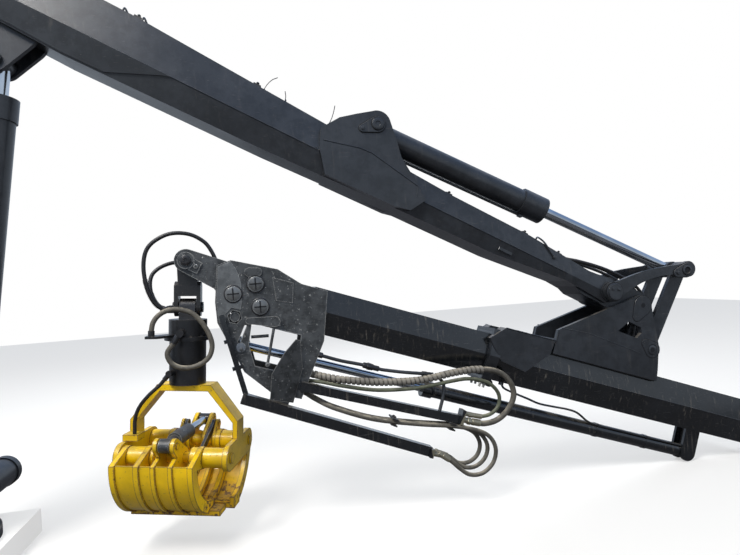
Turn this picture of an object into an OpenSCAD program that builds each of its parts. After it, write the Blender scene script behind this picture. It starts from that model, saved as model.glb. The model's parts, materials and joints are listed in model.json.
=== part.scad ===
// Loader crane of a forestry forwarder, folded for the road: slewing base and pillar, main boom, stick
// with a telescopic extension, linkage, rotator and timber grapple. Z is up, X runs along the boom and
// the origin is the middle of the base flange's underside.

/* [Base and pillar] */
// Radius of the bolted base flange
flange_r = 330; // [300:5:400]
// Thickness of the base flange
flange_t = 40; // [25:1:60]
// Number of holding-down bolts
bolt_count = 12; // [8:1:16]
// Radius of the holding-down bolt holes
bolt_hole_r = 16; // [12:0.5:20]
// Pitch circle diameter of the holding-down bolts
bolt_pcd = 580; // [540:5:600]
// Radius of the slewing housing
housing_r = 235; // [215:5:260]
// Height of the slewing housing above the flange
housing_h = 380; // [340:10:420]
// Length of each slewing rack cylinder
rack_len = 960; // [800:10:1100]
// Outer radius of a rack cylinder
rack_r = 75; // [60:1:90]
// Height of the main boom's pivot above the flange's underside
pivot_h = 2830; // [2700:10:2950]
// Width of the pillar across the boom
pillar_w = 300; // [260:5:300]
// Depth of the pillar along the boom
pillar_d = 290; // [240:5:300]

/* [Main boom] */
// Distance between the main boom's two hinge pins
boom_len = 4250; // [4100:10:4400]
// Slope of the folded main boom below the horizontal, in degrees
boom_tilt = 27.7; // [24:0.1:30]
// Width of the main boom at its bend line
boom_w = 260; // [240:5:280]
// Radius of the large hinge pins
pin_r = 32; // [26:0.5:36]
// Running clearance between a pin and its bush
pin_gap = 0.05; // [0.02:0.01:0.08]
// Side clearance between parts that move past each other
side_gap = 5; // [5:0.5:7]

/* [Lift cylinder] */
// Height of the lift cylinder's lower pin
lift_foot_h = 560; // [540:5:600]
// Distance of that pin in front of the slewing axis
lift_foot_x = 250; // [245:1:265]
// Distance of the upper lift pin along the boom
lift_eye_x = 700; // [680:5:720]
// Depth of the upper lift pin below the boom's centre line
lift_eye_z = 295; // [288:1:305]
// Outer radius of the lift cylinder's barrel
lift_barrel_r = 80; // [70:1:84]
// Radius of the lift cylinder's rod
lift_rod_r = 40; // [36:1:44]
// Length of lift rod between its barrel and the upper lift pin
lift_rod_out = 164; // [150:2:200]

/* [Stick cylinder and linkage] */
// Distance of the stick cylinder's rear pin behind the knuckle
hump_x = 1824; // [1780:2:1860]
// Height of the stick cylinder's rear pin over the boom's centre line
hump_z = 230; // [224:1:240]
// Outer radius of the stick cylinder's barrel
stick_barrel_r = 65; // [58:1:70]
// Radius of the stick cylinder's gland collar
gland_r = 76; // [70:1:80]
// Radius of the stick cylinder's rod
stick_rod_r = 31; // [26:1:36]
// Length of stick rod between its barrel and its pin
stick_rod_out = 912; // [880:2:940]
// Distance of the rocker's pin behind the knuckle
rocker_x = 222; // [215:1:230]
// Depth of the rocker's pin below the boom's centre line
rocker_z = 11; // [5:1:16]
// Length of the rocker arms between pins
rocker_len = 510; // [500:1:520]
// Length of the coupler links between pins
coupler_len = 520; // [510:1:530]
// Distance of the coupler's pin from the knuckle
coupler_r = 264; // [255:1:272]
// Thickness of the rocker arms, coupler links and bracket cheeks
link_t = 25; // [20:1:27]
// Half width of the boom's nose between the bracket cheeks
nose_w = 100; // [96:1:104]
// Half width of the cylinder eyes that sit between two ears
eye_w = 38; // [32:1:40]

/* [Stick] */
// Slope of the folded stick below the horizontal, in degrees
stick_tilt = 19; // [18:0.1:20]
// Distance from the knuckle pin down to the stick's top face
stick_drop = 372; // [365:1:380]
// Height of the outer stick section
stick_h = 258; // [250:1:265]
// Width of the outer stick section at its bend line
stick_w = 236; // [226:2:240]
// Wall of the outer stick section
stick_wall = 8; // [6:0.5:10]
// Length of the stick ahead of the knuckle, up to its mouth
stick_front = 850; // [820:5:880]
// Length of the stick's tail behind the knuckle
stick_tail = 1000; // [900:10:1050]
// Clearance round the sliding extension
slide_gap = 6; // [5:0.5:8]
// Length of extension that stands out of the mouth
ext_out = 1000; // [960:5:1040]
// Length of extension inside the stick
ext_in = 1130; // [1050:10:1180]

/* [Tip] */
// Distance from the knuckle to the tip pin, along the stick
tip_x = 2493; // [2460:2:2520]
// Depth of the tip pin below the knuckle, across the stick
tip_z = 428; // [415:1:435]
// Thickness of the tip's side plates
tip_t = 20; // [15:1:22]
// Radius of the tip plates' round plugs
plug_r = 38; // [32:1:42]
// Width of the upper square hose tube
upper_tube_w = 44; // [40:1:46]
// Width of the lower square hose tube
lower_tube_w = 50; // [44:1:54]

/* [Hoses] */
// Radius of the hoses in the low loops under the stick
low_hose_r = 11; // [9:0.5:12]
// Radius of the spiral guard round the upper loop
guard_r = 17; // [14:0.5:18]
// Radius of the hose in the smaller upper loop
inner_hose_r = 10; // [8:0.5:12]
// Radius of the hose that loops over the rotator
rotator_hose_r = 12; // [10:0.5:13]
// Radius of the hose inside the grapple's frame
grapple_hose_r = 9; // [7:0.5:11]
// Radius of the pipes along the top of the main boom
pipe_r = 9; // [7:0.5:10]

/* [Hanging gear] */
// Lean of the hanging gear from upright, in degrees
hang_tilt = 4; // [0:0.5:6]
// Distance between the pins of the hanging link
hang_len = 230; // [220:2:250]
// Depth of the rotator's flange below the tip pin
rotator_flange = 372; // [365:1:385]
// Radius of the rotator's flange
rotator_flange_r = 112; // [105:1:120]
// Radius of the rotator's housing
rotator_r = 92; // [86:1:98]
// Depth of the grapple's top plate below the tip pin
grab_top = 610; // [600:2:630]

/* [Grapple] */
// Turn of the grapple about the rotator's axis, in degrees
grab_yaw = -15; // [-30:1:0]
// Depth of the tines' hinges below the tip pin
grab_hinge = 932; // [925:1:945]
// Half the distance between the two tine hinges
hinge_half = 150; // [140:1:160]
// Outer radius of the closed tines
tine_r = 300; // [285:1:310]
// Full width of the grapple's frame
grab_w = 540; // [520:5:560]
// Radius of the tine hinge pins
tine_pin_r = 24; // [20:1:28]
// Thickness of a tine rib
rib_t = 25; // [18:1:28]
// Distance of the grapple cylinder's pins from the tine hinges
lug_r = 125; // [118:1:130]
// Lean of those pins outward from upright, in degrees
lug_lean = 50; // [45:1:55]
// Distance of the side links' pins from the tine hinges
link_low = 80; // [75:1:85]

/* [Hidden] */
$fn = 48;
play = 0.3;
knuckle = [boom_len * cos(boom_tilt), pivot_h - boom_len * sin(boom_tilt)];
// Places in the stick's own frame, from the knuckle: along the stick to its tail, and up
rocker_pin = turned([-rocker_x, -rocker_z], stick_tilt - boom_tilt);
coupler_pin = coupler_r * [cos(61.5), -sin(61.5)];
// The pin where rocker, coupler and rod meet, from the two link lengths
top_pin = meet(rocker_pin, coupler_pin, rocker_len, coupler_len);
// The same pin in the main boom's frame, from the knuckle
top_in_boom = turned(top_pin, boom_tilt - stick_tilt);
stick_cyl_vec = top_in_boom - [-hump_x, hump_z];
stick_cyl_len = norm(stick_cyl_vec);
stick_cyl_tilt = atan2(stick_cyl_vec[1], stick_cyl_vec[0]);
stick_barrel_len = stick_cyl_len - stick_rod_out;
lift_eye = turned([lift_eye_x, -lift_eye_z], -boom_tilt) + [0, pivot_h];
lift_vec = lift_eye - [lift_foot_x, lift_foot_h];
lift_len = norm(lift_vec);
lift_tilt = atan2(lift_vec[1], lift_vec[0]);
lift_barrel_len = lift_len - lift_rod_out;
// Lateral layers of the knuckle, measured from the crane's plane
cheek_y = nose_w + side_gap;
rocker_y = cheek_y + link_t + side_gap;
coupler_y = 70;
stick_low = stick_drop + stick_h;
stick_seam = stick_drop + 127;
tip_pin = knuckle + turned([-tip_x, -tip_z], -stick_tilt);
tip_y = 100;
root_pin_r = 50;
doubler_t = 7;
cap_t = 14;
// Round plugs in the tip's side plates, from the tip pin
plug_places = [[258, -99], [348, -23], [401, -126]];
// Extension cylinder: depth of its axis, its gland and the pin in the tip plates
tele_z = 770;
tele_gland = -1135;
tele_rod_r = 21;
tele_pin = [363 - tip_x, -tele_z];
// Ends of the square hose tubes and of the bar that guards the hoses at the tip, from the tip pin
upper_tube = [[693, -455], [1559, -438]];
lower_tube = [[433, -574], [1438, -632]];
hex_hole = [295, -206];
guide_bar = [[231, -212], [449, -560]];
upper_tube_y = -tip_y - tip_t - upper_tube_w / 2;
lower_tube_y = -tip_y - tip_t - lower_tube_w / 2;
// Port block between the tip plates, where the hoses end: its right face, width and height
port_x = -1840;
port_len = 60;
port_low = -945;
port_top = -800;
ferrule_len = 60;
hose_foot_t = 12;
pad_len = 50;
link_pin_r = 26;
// Grapple: ears and pins of its cylinder and of the side links, across the grapple
ear_in = 30;
ear_t = 20;
lug_pin_r = 15;
link_in = 84;
link_pin = 14;
link_lean = 25;
hub_r = 46;
hub_right = 140;
grab_rod_r = 20;
grab_barrel_len = 258;
// Height of the pipes' centres over the boom's top
pipe_lift = 14;
// Places along the boom's top, behind the knuckle, where blocks hold the pipes, and the boom's height there
pipe_blocks = [[-3740, 180], [-3100, 175], [-2460, 142], [-1300, 82], [-800, 76], [-560, 58]];
// Routes of the hoses [x, y, z]: the first five from the knuckle along the stick, then from the tip pin
// along the hanging gear, and from the tip pin along the grapple
low_hose_1 = [[-993, -169, -1064], [-935, -169, -1083], [-880, -169, -1110], [-815, -169, -1130],
    [-745, -169, -1107], [-703, -169, -1043], [-708, -169, -970], [-760, -169, -915], [-845, -169, -898],
    [-980, -169, -906], [-1180, -169, -937], [-1400, -167, -960], [-1600, -156, -952], [-1700, -112, -938],
    [-1764, -82, -922], [-1840, -76, -912]];
low_hose_2 = [[-993, -145, -1064], [-935, -145, -1076], [-850, -145, -1104], [-785, -145, -1088],
    [-744, -145, -1035], [-746, -145, -970], [-795, -145, -920], [-870, -145, -904], [-980, -145, -906],
    [-1180, -145, -937], [-1400, -143, -960], [-1600, -130, -952], [-1700, -84, -938], [-1764, -56, -922],
    [-1840, -48, -912]];
low_hose_3 = [[-993, -121, -1064], [-935, -121, -1072], [-875, -121, -1094], [-815, -121, -1078],
    [-778, -121, -1030], [-780, -121, -970], [-825, -121, -923], [-895, -121, -907], [-980, -121, -906],
    [-1180, -121, -937], [-1400, -119, -960], [-1600, -104, -952], [-1700, -56, -938], [-1764, -30, -922],
    [-1840, -20, -912]];
guarded_hose = [[-874, -160, -862], [-800, -160, -856], [-730, -160, -818], [-684, -160, -748],
    [-676, -160, -668], [-725, -160, -601], [-810, -160, -573], [-920, -160, -590], [-1040, -160, -636],
    [-1210, -160, -715], [-1415, -160, -773], [-1590, -156, -803], [-1680, -122, -815], [-1748, -81, -821],
    [-1840, -64, -824]];
inner_hose = [[-874, -160, -828], [-830, -160, -824], [-780, -160, -800], [-748, -160, -752],
    [-757, -160, -695], [-803, -160, -655], [-870, -160, -640], [-960, -160, -650], [-1060, -160, -690],
    [-1210, -160, -756], [-1415, -160, -814], [-1590, -155, -834], [-1690, -118, -844], [-1765, -80, -858],
    [-1840, -64, -866]];
rotator_hose = [[-148, -140, -335], [-141, -140, -298], [-119, -140, -265], [-82, -140, -242],
    [-30, -140, -235], [30, -140, -252], [75, -140, -293], [112, -140, -352], [128, -140, -412],
    [112, -140, -468], [62, -140, -504], [0, -140, -514], [-55, -140, -492], [-76, -140, -443],
    [-48, -140, -396]];
grapple_hose = [[-70, -110, -575], [-96, -110, -605], [-150, -112, -655], [-192, -112, -708],
    [-212, -112, -765], [-214, -112, -838]];

// A point turned up by an angle, in the plane of the crane
function turned(p, a) = [p[0] * cos(a) - p[1] * sin(a), p[0] * sin(a) + p[1] * cos(a)];
// The point at distances a and b from p and q, on the left of the line from p to q
function meet(p, q, a, b) =
    let (d = norm(q - p), along = (a * a - b * b + d * d) / (2 * d), u = (q - p) / d,
         across = sqrt(a * a - along * along))
    p + along * u + across * [-u[1], u[0]];

// The pin of a side link, from the middle between the hinges: on the near tine, or on the far one
// turned round
function link_place(near) =
    [-hinge_half, 0] + (near ? 1 : -1) * link_low * [sin(link_lean), -cos(link_lean)];

// Direction of a hose's route at one of its points; an end that nearly follows an axis is cut square to it,
// flush with its fitting
function heading(route, i) =
    let (last = len(route) - 1, d = route[min(i + 1, last)] - route[max(i - 1, 0)], u = d / norm(d),
         axis = [round(u[0]), round(u[1]), round(u[2])])
    (i == 0 || i == last) && norm(axis) == 1 && u * axis > 0.9 ? axis : u;

// A hose along its route: a ring of corners at every point, square to the route
module hose(route, r) {
    corners = 10;
    last = len(route) - 1;
    rings = [for (i = [0 : last])
        let (t = heading(route, i), side = cross(t, [0, 1, 0]), u = side / norm(side), v = cross(t, u))
        for (k = [0 : corners - 1])
            route[i] + r * (cos(k * 360 / corners) * u - sin(k * 360 / corners) * v)];
    walls = [for (i = [0 : last - 1], k = [0 : corners - 1]) let (next = (k + 1) % corners, a = i * corners,
        b = a + corners) each [[a + k, a + next, b + next], [a + k, b + next, b + k]]];
    polyhedron(rings, concat([[for (k = [corners - 1 : -1 : 0]) k]], walls,
        [[for (k = [0 : corners - 1]) last * corners + k]]));
}

module at_boom() { translate([0, 0, pivot_h]) rotate([0, boom_tilt, 0]) children(); }
module at_knuckle_of_boom() { at_boom() translate([boom_len, 0, 0]) children(); }
module at_stick() { translate([knuckle[0], 0, knuckle[1]]) rotate([0, stick_tilt, 0]) children(); }
module at_tip() { at_stick() translate([-tip_x, 0, -tip_z]) children(); }
module at_hang() { translate([tip_pin[0], 0, tip_pin[1]]) rotate([0, hang_tilt, 0]) children(); }
module at_grab() { at_hang() rotate([0, 0, grab_yaw]) children(); }

// A shape drawn in the crane's plane, as a plate from y0 outward
module plate(y0, t) { translate([0, y0 + t, 0]) rotate([90, 0, 0]) linear_extrude(t) children(); }
// The same plate on both sides of the crane
module plates(y0, t) {
    plate(y0, t) children();
    plate(-y0 - t, t) children();
}
// A shape drawn across the crane, drawn out along X from x0
module along_x(x0, len) { translate([x0, 0, 0]) rotate([90, 0, 90]) linear_extrude(len) children(); }
// A round bar across the crane at a point of its plane
module cross_pin(p, r, y0, y1) {
    translate([p[0], y1, p[1]]) rotate([90, 0, 0]) cylinder(r = r, h = y1 - y0);
}
module cross_pins(p, r, y0, y1) {
    cross_pin(p, r, y0, y1);
    cross_pin(p, r, -y1, -y0);
}
// A bar with round ends, drawn between two points with a radius at each
module bar(p, q, rp, rq) {
    d = norm(q - p);
    a = atan2(q[1] - p[1], q[0] - p[0]);
    b = acos((rp - rq) / d);
    translate(p) circle(rp);
    translate(q) circle(rq);
    polygon([p + rp * [cos(a + b), sin(a + b)], q + rq * [cos(a + b), sin(a + b)],
        q + rq * [cos(a - b), sin(a - b)], p + rp * [cos(a - b), sin(a - b)]]);
}
// A flat bar of half width w with larger round eyes at both ends
module eye_bar(p, q, r, w) {
    a = atan2(q[1] - p[1], q[0] - p[0]);
    for (end = [p, q]) translate(end) circle(r);
    translate(p) rotate(a) translate([0, -w]) square([norm(q - p), 2 * w]);
}
// A round bar between two points of the crane's plane
module rod_between(p, q, r) {
    translate([p[0], 0, p[1]])
        rotate([0, 90 - atan2(q[1] - p[1], q[0] - p[0]), 0])
            cylinder(r = r, h = norm(q - p));
}
// A six-sided beam section: top, bend line and underside as [height, half width]
module section(top, seam, low) {
    polygon([[-top[1], top[0]], [top[1], top[0]], [seam[1], seam[0]], [low[1], low[0]],
        [-low[1], low[0]], [-seam[1], seam[0]]]);
}

module base_flange() {
    color("#2b2d30") difference() {
        union() {
            cylinder(r = flange_r, h = flange_t);
            translate([0, 0, flange_t]) cylinder(r1 = housing_r + 30, r2 = housing_r, h = 60);
            cylinder(r = housing_r, h = flange_t + housing_h);
        }
        for (i = [0 : bolt_count - 1])
            rotate([0, 0, (i + 0.5) * 360 / bolt_count])
                translate([bolt_pcd / 2, 0, -1]) cylinder(r = bolt_hole_r, h = flange_t + 2);
        for (side = [-1, 1]) rack_hole(side);
    }
}

module rack_hole(side) {
    translate([side * (housing_r - rack_r + 20), rack_len, flange_t + 60 + rack_r + 20])
        rotate([90, 0, 0]) cylinder(r = rack_r, h = 2 * rack_len);
}

module rack_cylinders() {
    color("#2b2d30") for (side = [-1, 1])
        translate([side * (housing_r - rack_r + 20), rack_len / 2, flange_t + 60 + rack_r + 20])
            rotate([90, 0, 0]) rotate_extrude()
                polygon([[0, 0], [rack_r + 6, 0], [rack_r + 6, 40], [rack_r, 40],
                    [rack_r, rack_len - 40], [rack_r + 6, rack_len - 40], [rack_r + 6, rack_len],
                    [0, rack_len]]);
}

// Side outline of the pillar, from its foot to the ears of the main boom
module pillar_outline() {
    foot = flange_t + housing_h + 60;
    polygon([[-pillar_d / 2, foot], [pillar_d / 2, foot], [pillar_d / 2, pivot_h - 620],
        [pillar_d / 2 - 20, pivot_h - 430], [-100, pivot_h - 240], [-170, pivot_h - 240],
        [-170, pivot_h - 500], [-pillar_d / 2, pivot_h - 700]]);
}

module pillar() {
    foot = flange_t + housing_h;
    ear_y = boom_w / 2 + side_gap;
    color("#2b2d30") difference() {
        union() {
            translate([0, 0, foot]) cylinder(r = 190, h = 60);
            plate(-pillar_w / 2, pillar_w) pillar_outline();
            plates(ear_y, 40) bar([0, pivot_h], [-60, pivot_h - 420], 110, 100);
            plates(eye_w + side_gap, 25)
                bar([lift_foot_x, lift_foot_h], [pillar_d / 2 - 60, lift_foot_h - 10], 62, 70);
        }
        cross_pin([lift_foot_x, lift_foot_h], pin_r, -pillar_w, pillar_w);
    }
    color("#3a3c3f") {
        cross_pin([lift_foot_x, lift_foot_h], pin_r, -eye_w - side_gap - 40, eye_w + side_gap + 40);
        cross_pin([0, pivot_h], root_pin_r, -ear_y - 60, ear_y + 60);
    }
}

// Side outline of the main boom, from the pivot; distances run back from the knuckle
module boom_outline() {
    k = boom_len;
    polygon([[0, 105], [500, 180], [k - 3100, 175], [k - 1300, 82], [k - 800, 76], [k - 390, 45],
        [k - rocker_x, 60], [k - rocker_x, -80], [k - 490, -62], [k - 950, -105], [k - 1600, -117],
        [k - 2300, -141], [k - 3300, -150], [0, -105]]);
    circle(105);
}

module boom_beam() {
    intersection() {
        plate(-boom_w, 2 * boom_w) boom_outline();
        along_x(-200, boom_len) section([190, 92], [-25, boom_w / 2], [-190, 84]);
    }
}

// Doubler plates on the lower half of the boom's root, bent like the boom
module boom_doubler() {
    intersection() {
        plate(-boom_w, 2 * boom_w) polygon([[260, -26], [1440, -26], [1390, -40], [1150, -140], [950, -142],
            [470, -118], [330, -100]]);
        along_x(200, 1300) section([190, 92 + doubler_t], [-25, boom_w / 2 + doubler_t],
            [-190, 84 + doubler_t]);
    }
}

module main_boom() {
    color("#2e3338") at_boom() difference() {
        union() {
            boom_beam();
            boom_doubler();
            cross_pin([0, 0], 105, -boom_w / 2, boom_w / 2);
            translate([boom_len, 0, 0]) {
                plate(-nose_w, 2 * nose_w) union() {
                    bar([0, 0], [-rocker_x, -rocker_z], 74, 84);
                    polygon([[-507, -37], [-362, -89], [-252, -90], [-rocker_x, 70], [-393, 45],
                        [-507, 56]]);
                }
                cross_pins([-rocker_x, -rocker_z], 60, nose_w, rocker_y - 1);
            }
            plates(lift_rod_r + side_gap, 25) bar([lift_eye_x, -lift_eye_z], [lift_eye_x, -130], 58, 120);
        }
        cross_pin([0, 0], root_pin_r + pin_gap, -boom_w, boom_w);
        cross_pin([boom_len, 0], pin_r + pin_gap, -boom_w, boom_w);
    }
    color("#3a3c3f") at_boom() {
        cross_pins([lift_eye_x, -lift_eye_z], pin_r, lift_rod_r + side_gap, lift_rod_r + side_gap + 40);
        translate([boom_len, 0, 0])
            {
                cross_pins([-rocker_x, -rocker_z], pin_r, rocker_y - 1, rocker_y + link_t + 1);
                cross_pins([-rocker_x, -rocker_z], 44, rocker_y + link_t + 1, rocker_y + link_t + 1 + cap_t);
            }
    }
}

// Side outline of the doubler plates that carry the stick cylinder
module hump_outline() {
    translate([-hump_x, hump_z]) {
        circle(72);
        polygon([[-253, -150], [-190, -58], [-119, 0], [-38, 61], [58, 43], [126, -30], [184, -98],
            [279, -160], [394, -246], [340, -330], [252, -348], [62, -352], [-139, -356], [-216, -250]]);
    }
}

module hump_bracket() {
    ear_y = eye_w + side_gap;
    color("#2e3338") at_knuckle_of_boom() difference() {
        union() {
            plates(boom_w / 2 - 45, 60) hump_outline();
            plates(ear_y, boom_w / 2 - 45 - ear_y) intersection() {
                hump_outline();
                translate([-hump_x - 72, 60]) square([144, 300]);
            }
        }
        translate([-boom_len, 0, 0]) boom_beam();
        cross_pin([-hump_x, hump_z], pin_r, -boom_w, boom_w);
    }
    color("#3a3c3f") at_knuckle_of_boom()
        cross_pin([-hump_x, hump_z], pin_r, -boom_w / 2 - 27, boom_w / 2 + 27);
}

// A cylinder's barrel along +X from its eye: narrow neck between the ears, tube and gland, bored for the rod
module barrel(eye_r, body_r, start, len, collar_r, collar_len, bore_r) {
    difference() {
        union() {
            rotate([0, 90, 0]) {
                cylinder(r = eye_w - 4, h = start + 1);
                translate([0, 0, start]) cylinder(r = body_r, h = len - start);
                translate([0, 0, len - collar_len]) cylinder(r = collar_r, h = collar_len);
            }
            cross_pin([0, 0], eye_r, -eye_w, eye_w);
        }
        cross_pin([0, 0], pin_r + pin_gap, -eye_w - 1, eye_w + 1);
        translate([start + 2, 0, 0]) rotate([0, 90, 0]) cylinder(r = bore_r + pin_gap, h = len);
    }
}

module stick_barrel() {
    feed_z = -stick_barrel_r - 12;
    feed = [150, stick_barrel_len - 120];
    color("#2b2d30") at_knuckle_of_boom() translate([-hump_x, 0, hump_z])
        rotate([0, -stick_cyl_tilt, 0]) {
            barrel(56, stick_barrel_r, 86, stick_barrel_len, gland_r, 150, stick_rod_r);
            difference() {
                union() {
                    rod_between([feed[0], feed_z], [feed[1], feed_z], 8);
                    for (x = feed) translate([x - 12, -14, feed_z - 10]) cube([24, 28, 30]);
                }
                rod_between([0, 0], [stick_barrel_len, 0], stick_barrel_r);
                rod_between([stick_barrel_len - 150, 0], [stick_barrel_len, 0], gland_r);
            }
        }
}

module stick_rod() {
    color("#b9c2cc") at_knuckle_of_boom() translate([-hump_x, 0, hump_z])
        rotate([0, -stick_cyl_tilt, 0]) {
            translate([stick_barrel_len - 175, 0, 0]) rotate([0, 90, 0])
                cylinder(r = stick_rod_r, h = stick_cyl_len - stick_barrel_len + 175 - 30);
            cross_pin([stick_cyl_len, 0], 48, -eye_w, eye_w);
            cross_pin([stick_cyl_len, 0], pin_r, -coupler_y + side_gap, coupler_y - side_gap);
        }
}

module lift_barrel() {
    color("#2b2d30") translate([lift_foot_x, 0, lift_foot_h]) rotate([0, -lift_tilt, 0])
        barrel(60, lift_barrel_r, 78, lift_barrel_len, lift_barrel_r + 8, 110, lift_rod_r);
}

module lift_rod() {
    color("#b9c2cc") translate([lift_foot_x, 0, lift_foot_h]) rotate([0, -lift_tilt, 0]) {
        translate([200, 0, 0]) rotate([0, 90, 0]) cylinder(r = lift_rod_r, h = lift_len - 200 - 30);
        cross_pin([lift_len, 0], 50, -lift_rod_r, lift_rod_r);
    }
}

// Curved rocker arm: half widths run from its wide root to its slim end, and it bows up over the knuckle
module rocker_outline() {
    steps = 8;
    bow = rocker_len * 0.07;
    axis = (top_pin - rocker_pin) / rocker_len;
    normal = [-axis[1], axis[0]];
    mid = [for (i = [0 : steps]) let (t = i / steps)
        rocker_pin + axis * rocker_len * t + normal * bow * sin(180 * t)];
    half = [for (i = [0 : steps]) let (t = i / steps) 23 + 26 * pow(1 - t, 3) + 14 * pow(t, 6)];
    polygon(concat([for (i = [0 : steps]) mid[i] + normal * half[i]],
        [for (i = [steps : -1 : 0]) mid[i] - normal * half[i]]));
    translate(top_pin) circle(46);
    translate(rocker_pin) circle(56);
}

module rocker_arms() {
    color("#2e3338") at_stick() difference() {
        union() {
            plates(rocker_y, link_t) rocker_outline();
            cross_pins(top_pin, 40, rocker_y + link_t, rocker_y + link_t + 6);
        }
        cross_pin(rocker_pin, pin_r + pin_gap, -400, 400);
    }
}

module coupler_links() {
    color("#2e3338") at_stick() difference() {
        union() {
            plates(coupler_y, link_t) bar(coupler_pin, top_pin, 42, 42);
            cross_pins(top_pin, 44, coupler_y, rocker_y - side_gap);
        }
        cross_pin(coupler_pin, pin_r + pin_gap, -400, 400);
    }
}

// Section of the outer stick; inset shrinks it for the bore and for the extension
module stick_section(inset) {
    i = inset;
    section([-stick_drop - i, 96 - i * 0.85], [-stick_seam, stick_w / 2 - i * 1.03],
        [-stick_low + i, 80 - i * 0.75]);
}

module stick_box() {
    color("#1d1f22") at_stick() difference() {
        along_x(-stick_front, stick_front + stick_tail) stick_section(0);
        along_x(-stick_front - 1, stick_front + stick_tail - 20) stick_section(stick_wall);
    }
}

module bracket_outline() {
    polygon([[-40, 46], [-486, -268], [-486, -stick_drop - 30], [200, -stick_drop - 30],
        [190, -330], coupler_pin + [47, -17], coupler_pin + [36, 35], [60, 6], [0, 60]]);
    circle(60);
    translate(coupler_pin) circle(50);
}

module stick_bracket() {
    color("#2e3338") at_stick() difference() {
        union() {
            plates(cheek_y, link_t) difference() {
                bracket_outline();
                polygon([[-120, -182], [-64, -113], [22, -126], [34, -155], [10, -192]]);
            }
            plate(-nose_w - side_gap, 2 * (nose_w + side_gap))
                polygon([[-484, -stick_drop], [-478, -318], [185, -300], [195, -stick_drop]]);
        }
        along_x(-900, 1400) stick_section(0);
        cross_pin([0, 0], pin_r, -400, 400);
        cross_pin(coupler_pin, pin_r, -400, 400);
    }
    color("#3a3c3f") at_stick() {
        cross_pin([0, 0], pin_r, -cheek_y - link_t - 2, cheek_y + link_t + 2);
        cross_pins(coupler_pin, pin_r, coupler_y - 2, cheek_y + link_t + 2);
    }
}

module mouth_collar() {
    color("#1d1f22") at_stick() difference() {
        union() {
            plates(60, stick_w / 2 - 60 + 16) translate([-stick_front, -stick_drop])
                polygon([[-24, -37], [2, -14], [55, 38], [358, 43], [348, -36], [226, -167], [70, -142]]);
            along_x(-stick_front, 60) section([-stick_drop + 20, 112], [-stick_seam, stick_w / 2 + 18],
                [-stick_low - 16, 92]);
            for (x = [18, 42], y = [-55, 55]) translate([x - stick_front, y, -stick_low - 52])
                cylinder(r = 7, h = 40);
            plates(40, 12) translate([-stick_front, -stick_low]) bar([75, -22], [30, -10], 20, 26);
        }
        along_x(-1200, 1400) stick_section(0);
    }
    color("#1d1f22") at_stick() difference() {
        along_x(-stick_front, pad_len) stick_section(stick_wall);
        along_x(-stick_front - 1, pad_len + 2) stick_section(stick_wall + slide_gap - play);
    }
}

module telescope_barrel() {
    color("#1d1f22") at_stick() difference() {
        union() {
            rod_between([tele_gland, -tele_z], [640, -tele_z], 38);
            rod_between([tele_gland, -tele_z], [tele_gland + 60, -tele_z], 45);
            plates(28, 16) bar([600, -tele_z], [600, -stick_low + 24], 50, 50);
        }
        along_x(-900, 2000) stick_section(0);
        rod_between([tele_gland - 1, -tele_z], [180, -tele_z], tele_rod_r + pin_gap);
    }
}

module extension_beam() {
    color("#1d1f22") at_stick() {
        along_x(-stick_front - ext_out, ext_out + ext_in) stick_section(stick_wall + slide_gap);
        along_x(-stick_front + ext_in - pad_len, pad_len) stick_section(stick_wall + play);
    }
}

// Everything that the extension beam fills at the tip
module beam_place() { along_x(-stick_front - ext_out, ext_out) stick_section(stick_wall + slide_gap); }

module tip_plates() {
    color("#8a8c8c") difference() {
        at_tip() plates(tip_y, tip_t) difference() {
            polygon([[146, 16], [203, 58], [433, 76], [567, 36], [703, 36], [753, -212], [719, -522],
                [663, -523], [663, -602], [583, -602], [583, -524], [566, -525], [411, -455],
                [223, -254], [186, -160]]);
            polygon([[381, -212], [633, -212], [645, -292], [633, -415], [453, -415], [396, -320]]);
            bar([348, -318], [357, -238], 6, 6);
            translate(hex_hole) circle(34, $fn = 6);
        }
        at_tip() for (p = plug_places) cross_pin(p, plug_r, -400, 400);
        at_stick() cross_pin(tele_pin, 22, -400, 400);
        at_stick() beam_place();
    }
    color("#8a8c8c") at_tip() cross_pins(hex_hole, 24, tip_y - 20, tip_y + tip_t - 8);
}

module tip_plugs() {
    color("#3a3a3a") at_tip() for (p = plug_places) cross_pins(p, plug_r, tip_y, tip_y + tip_t + 8);
}

module tip_arm() {
    inner = eye_w + side_gap;
    color("#8a8c8c") at_tip() difference() {
        union() {
            plates(inner, tip_y - inner) bar([0, 0], [318, -46], 56, 88);
            plates(inner, tip_y - inner) bar([176, -30], [330, -150], 60, 70);
        }
        cross_pin([0, 0], pin_r, -400, 400);
        cross_pins(hex_hole, 24, tip_y - 20, tip_y + 1);
    }
    color("#3a3a3a") at_tip() {
        cross_pin([0, 0], pin_r, -tip_y - 1, tip_y + 1);
        cross_pins([0, 0], 40, tip_y, tip_y + cap_t);
        plates(tip_y, 8) polygon([[34, 18], [76, 8], [66, -48], [24, -40]]);
    }
}

module telescope_rod() {
    color("#b9c2cc") at_stick() {
        rod_between(tele_pin, [-570, -tele_z], tele_rod_r);
        cross_pin(tele_pin, 40, -36, 36);
        cross_pin(tele_pin, 22, -tip_y - tip_t - 8, tip_y + tip_t + 8);
    }
}

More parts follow.
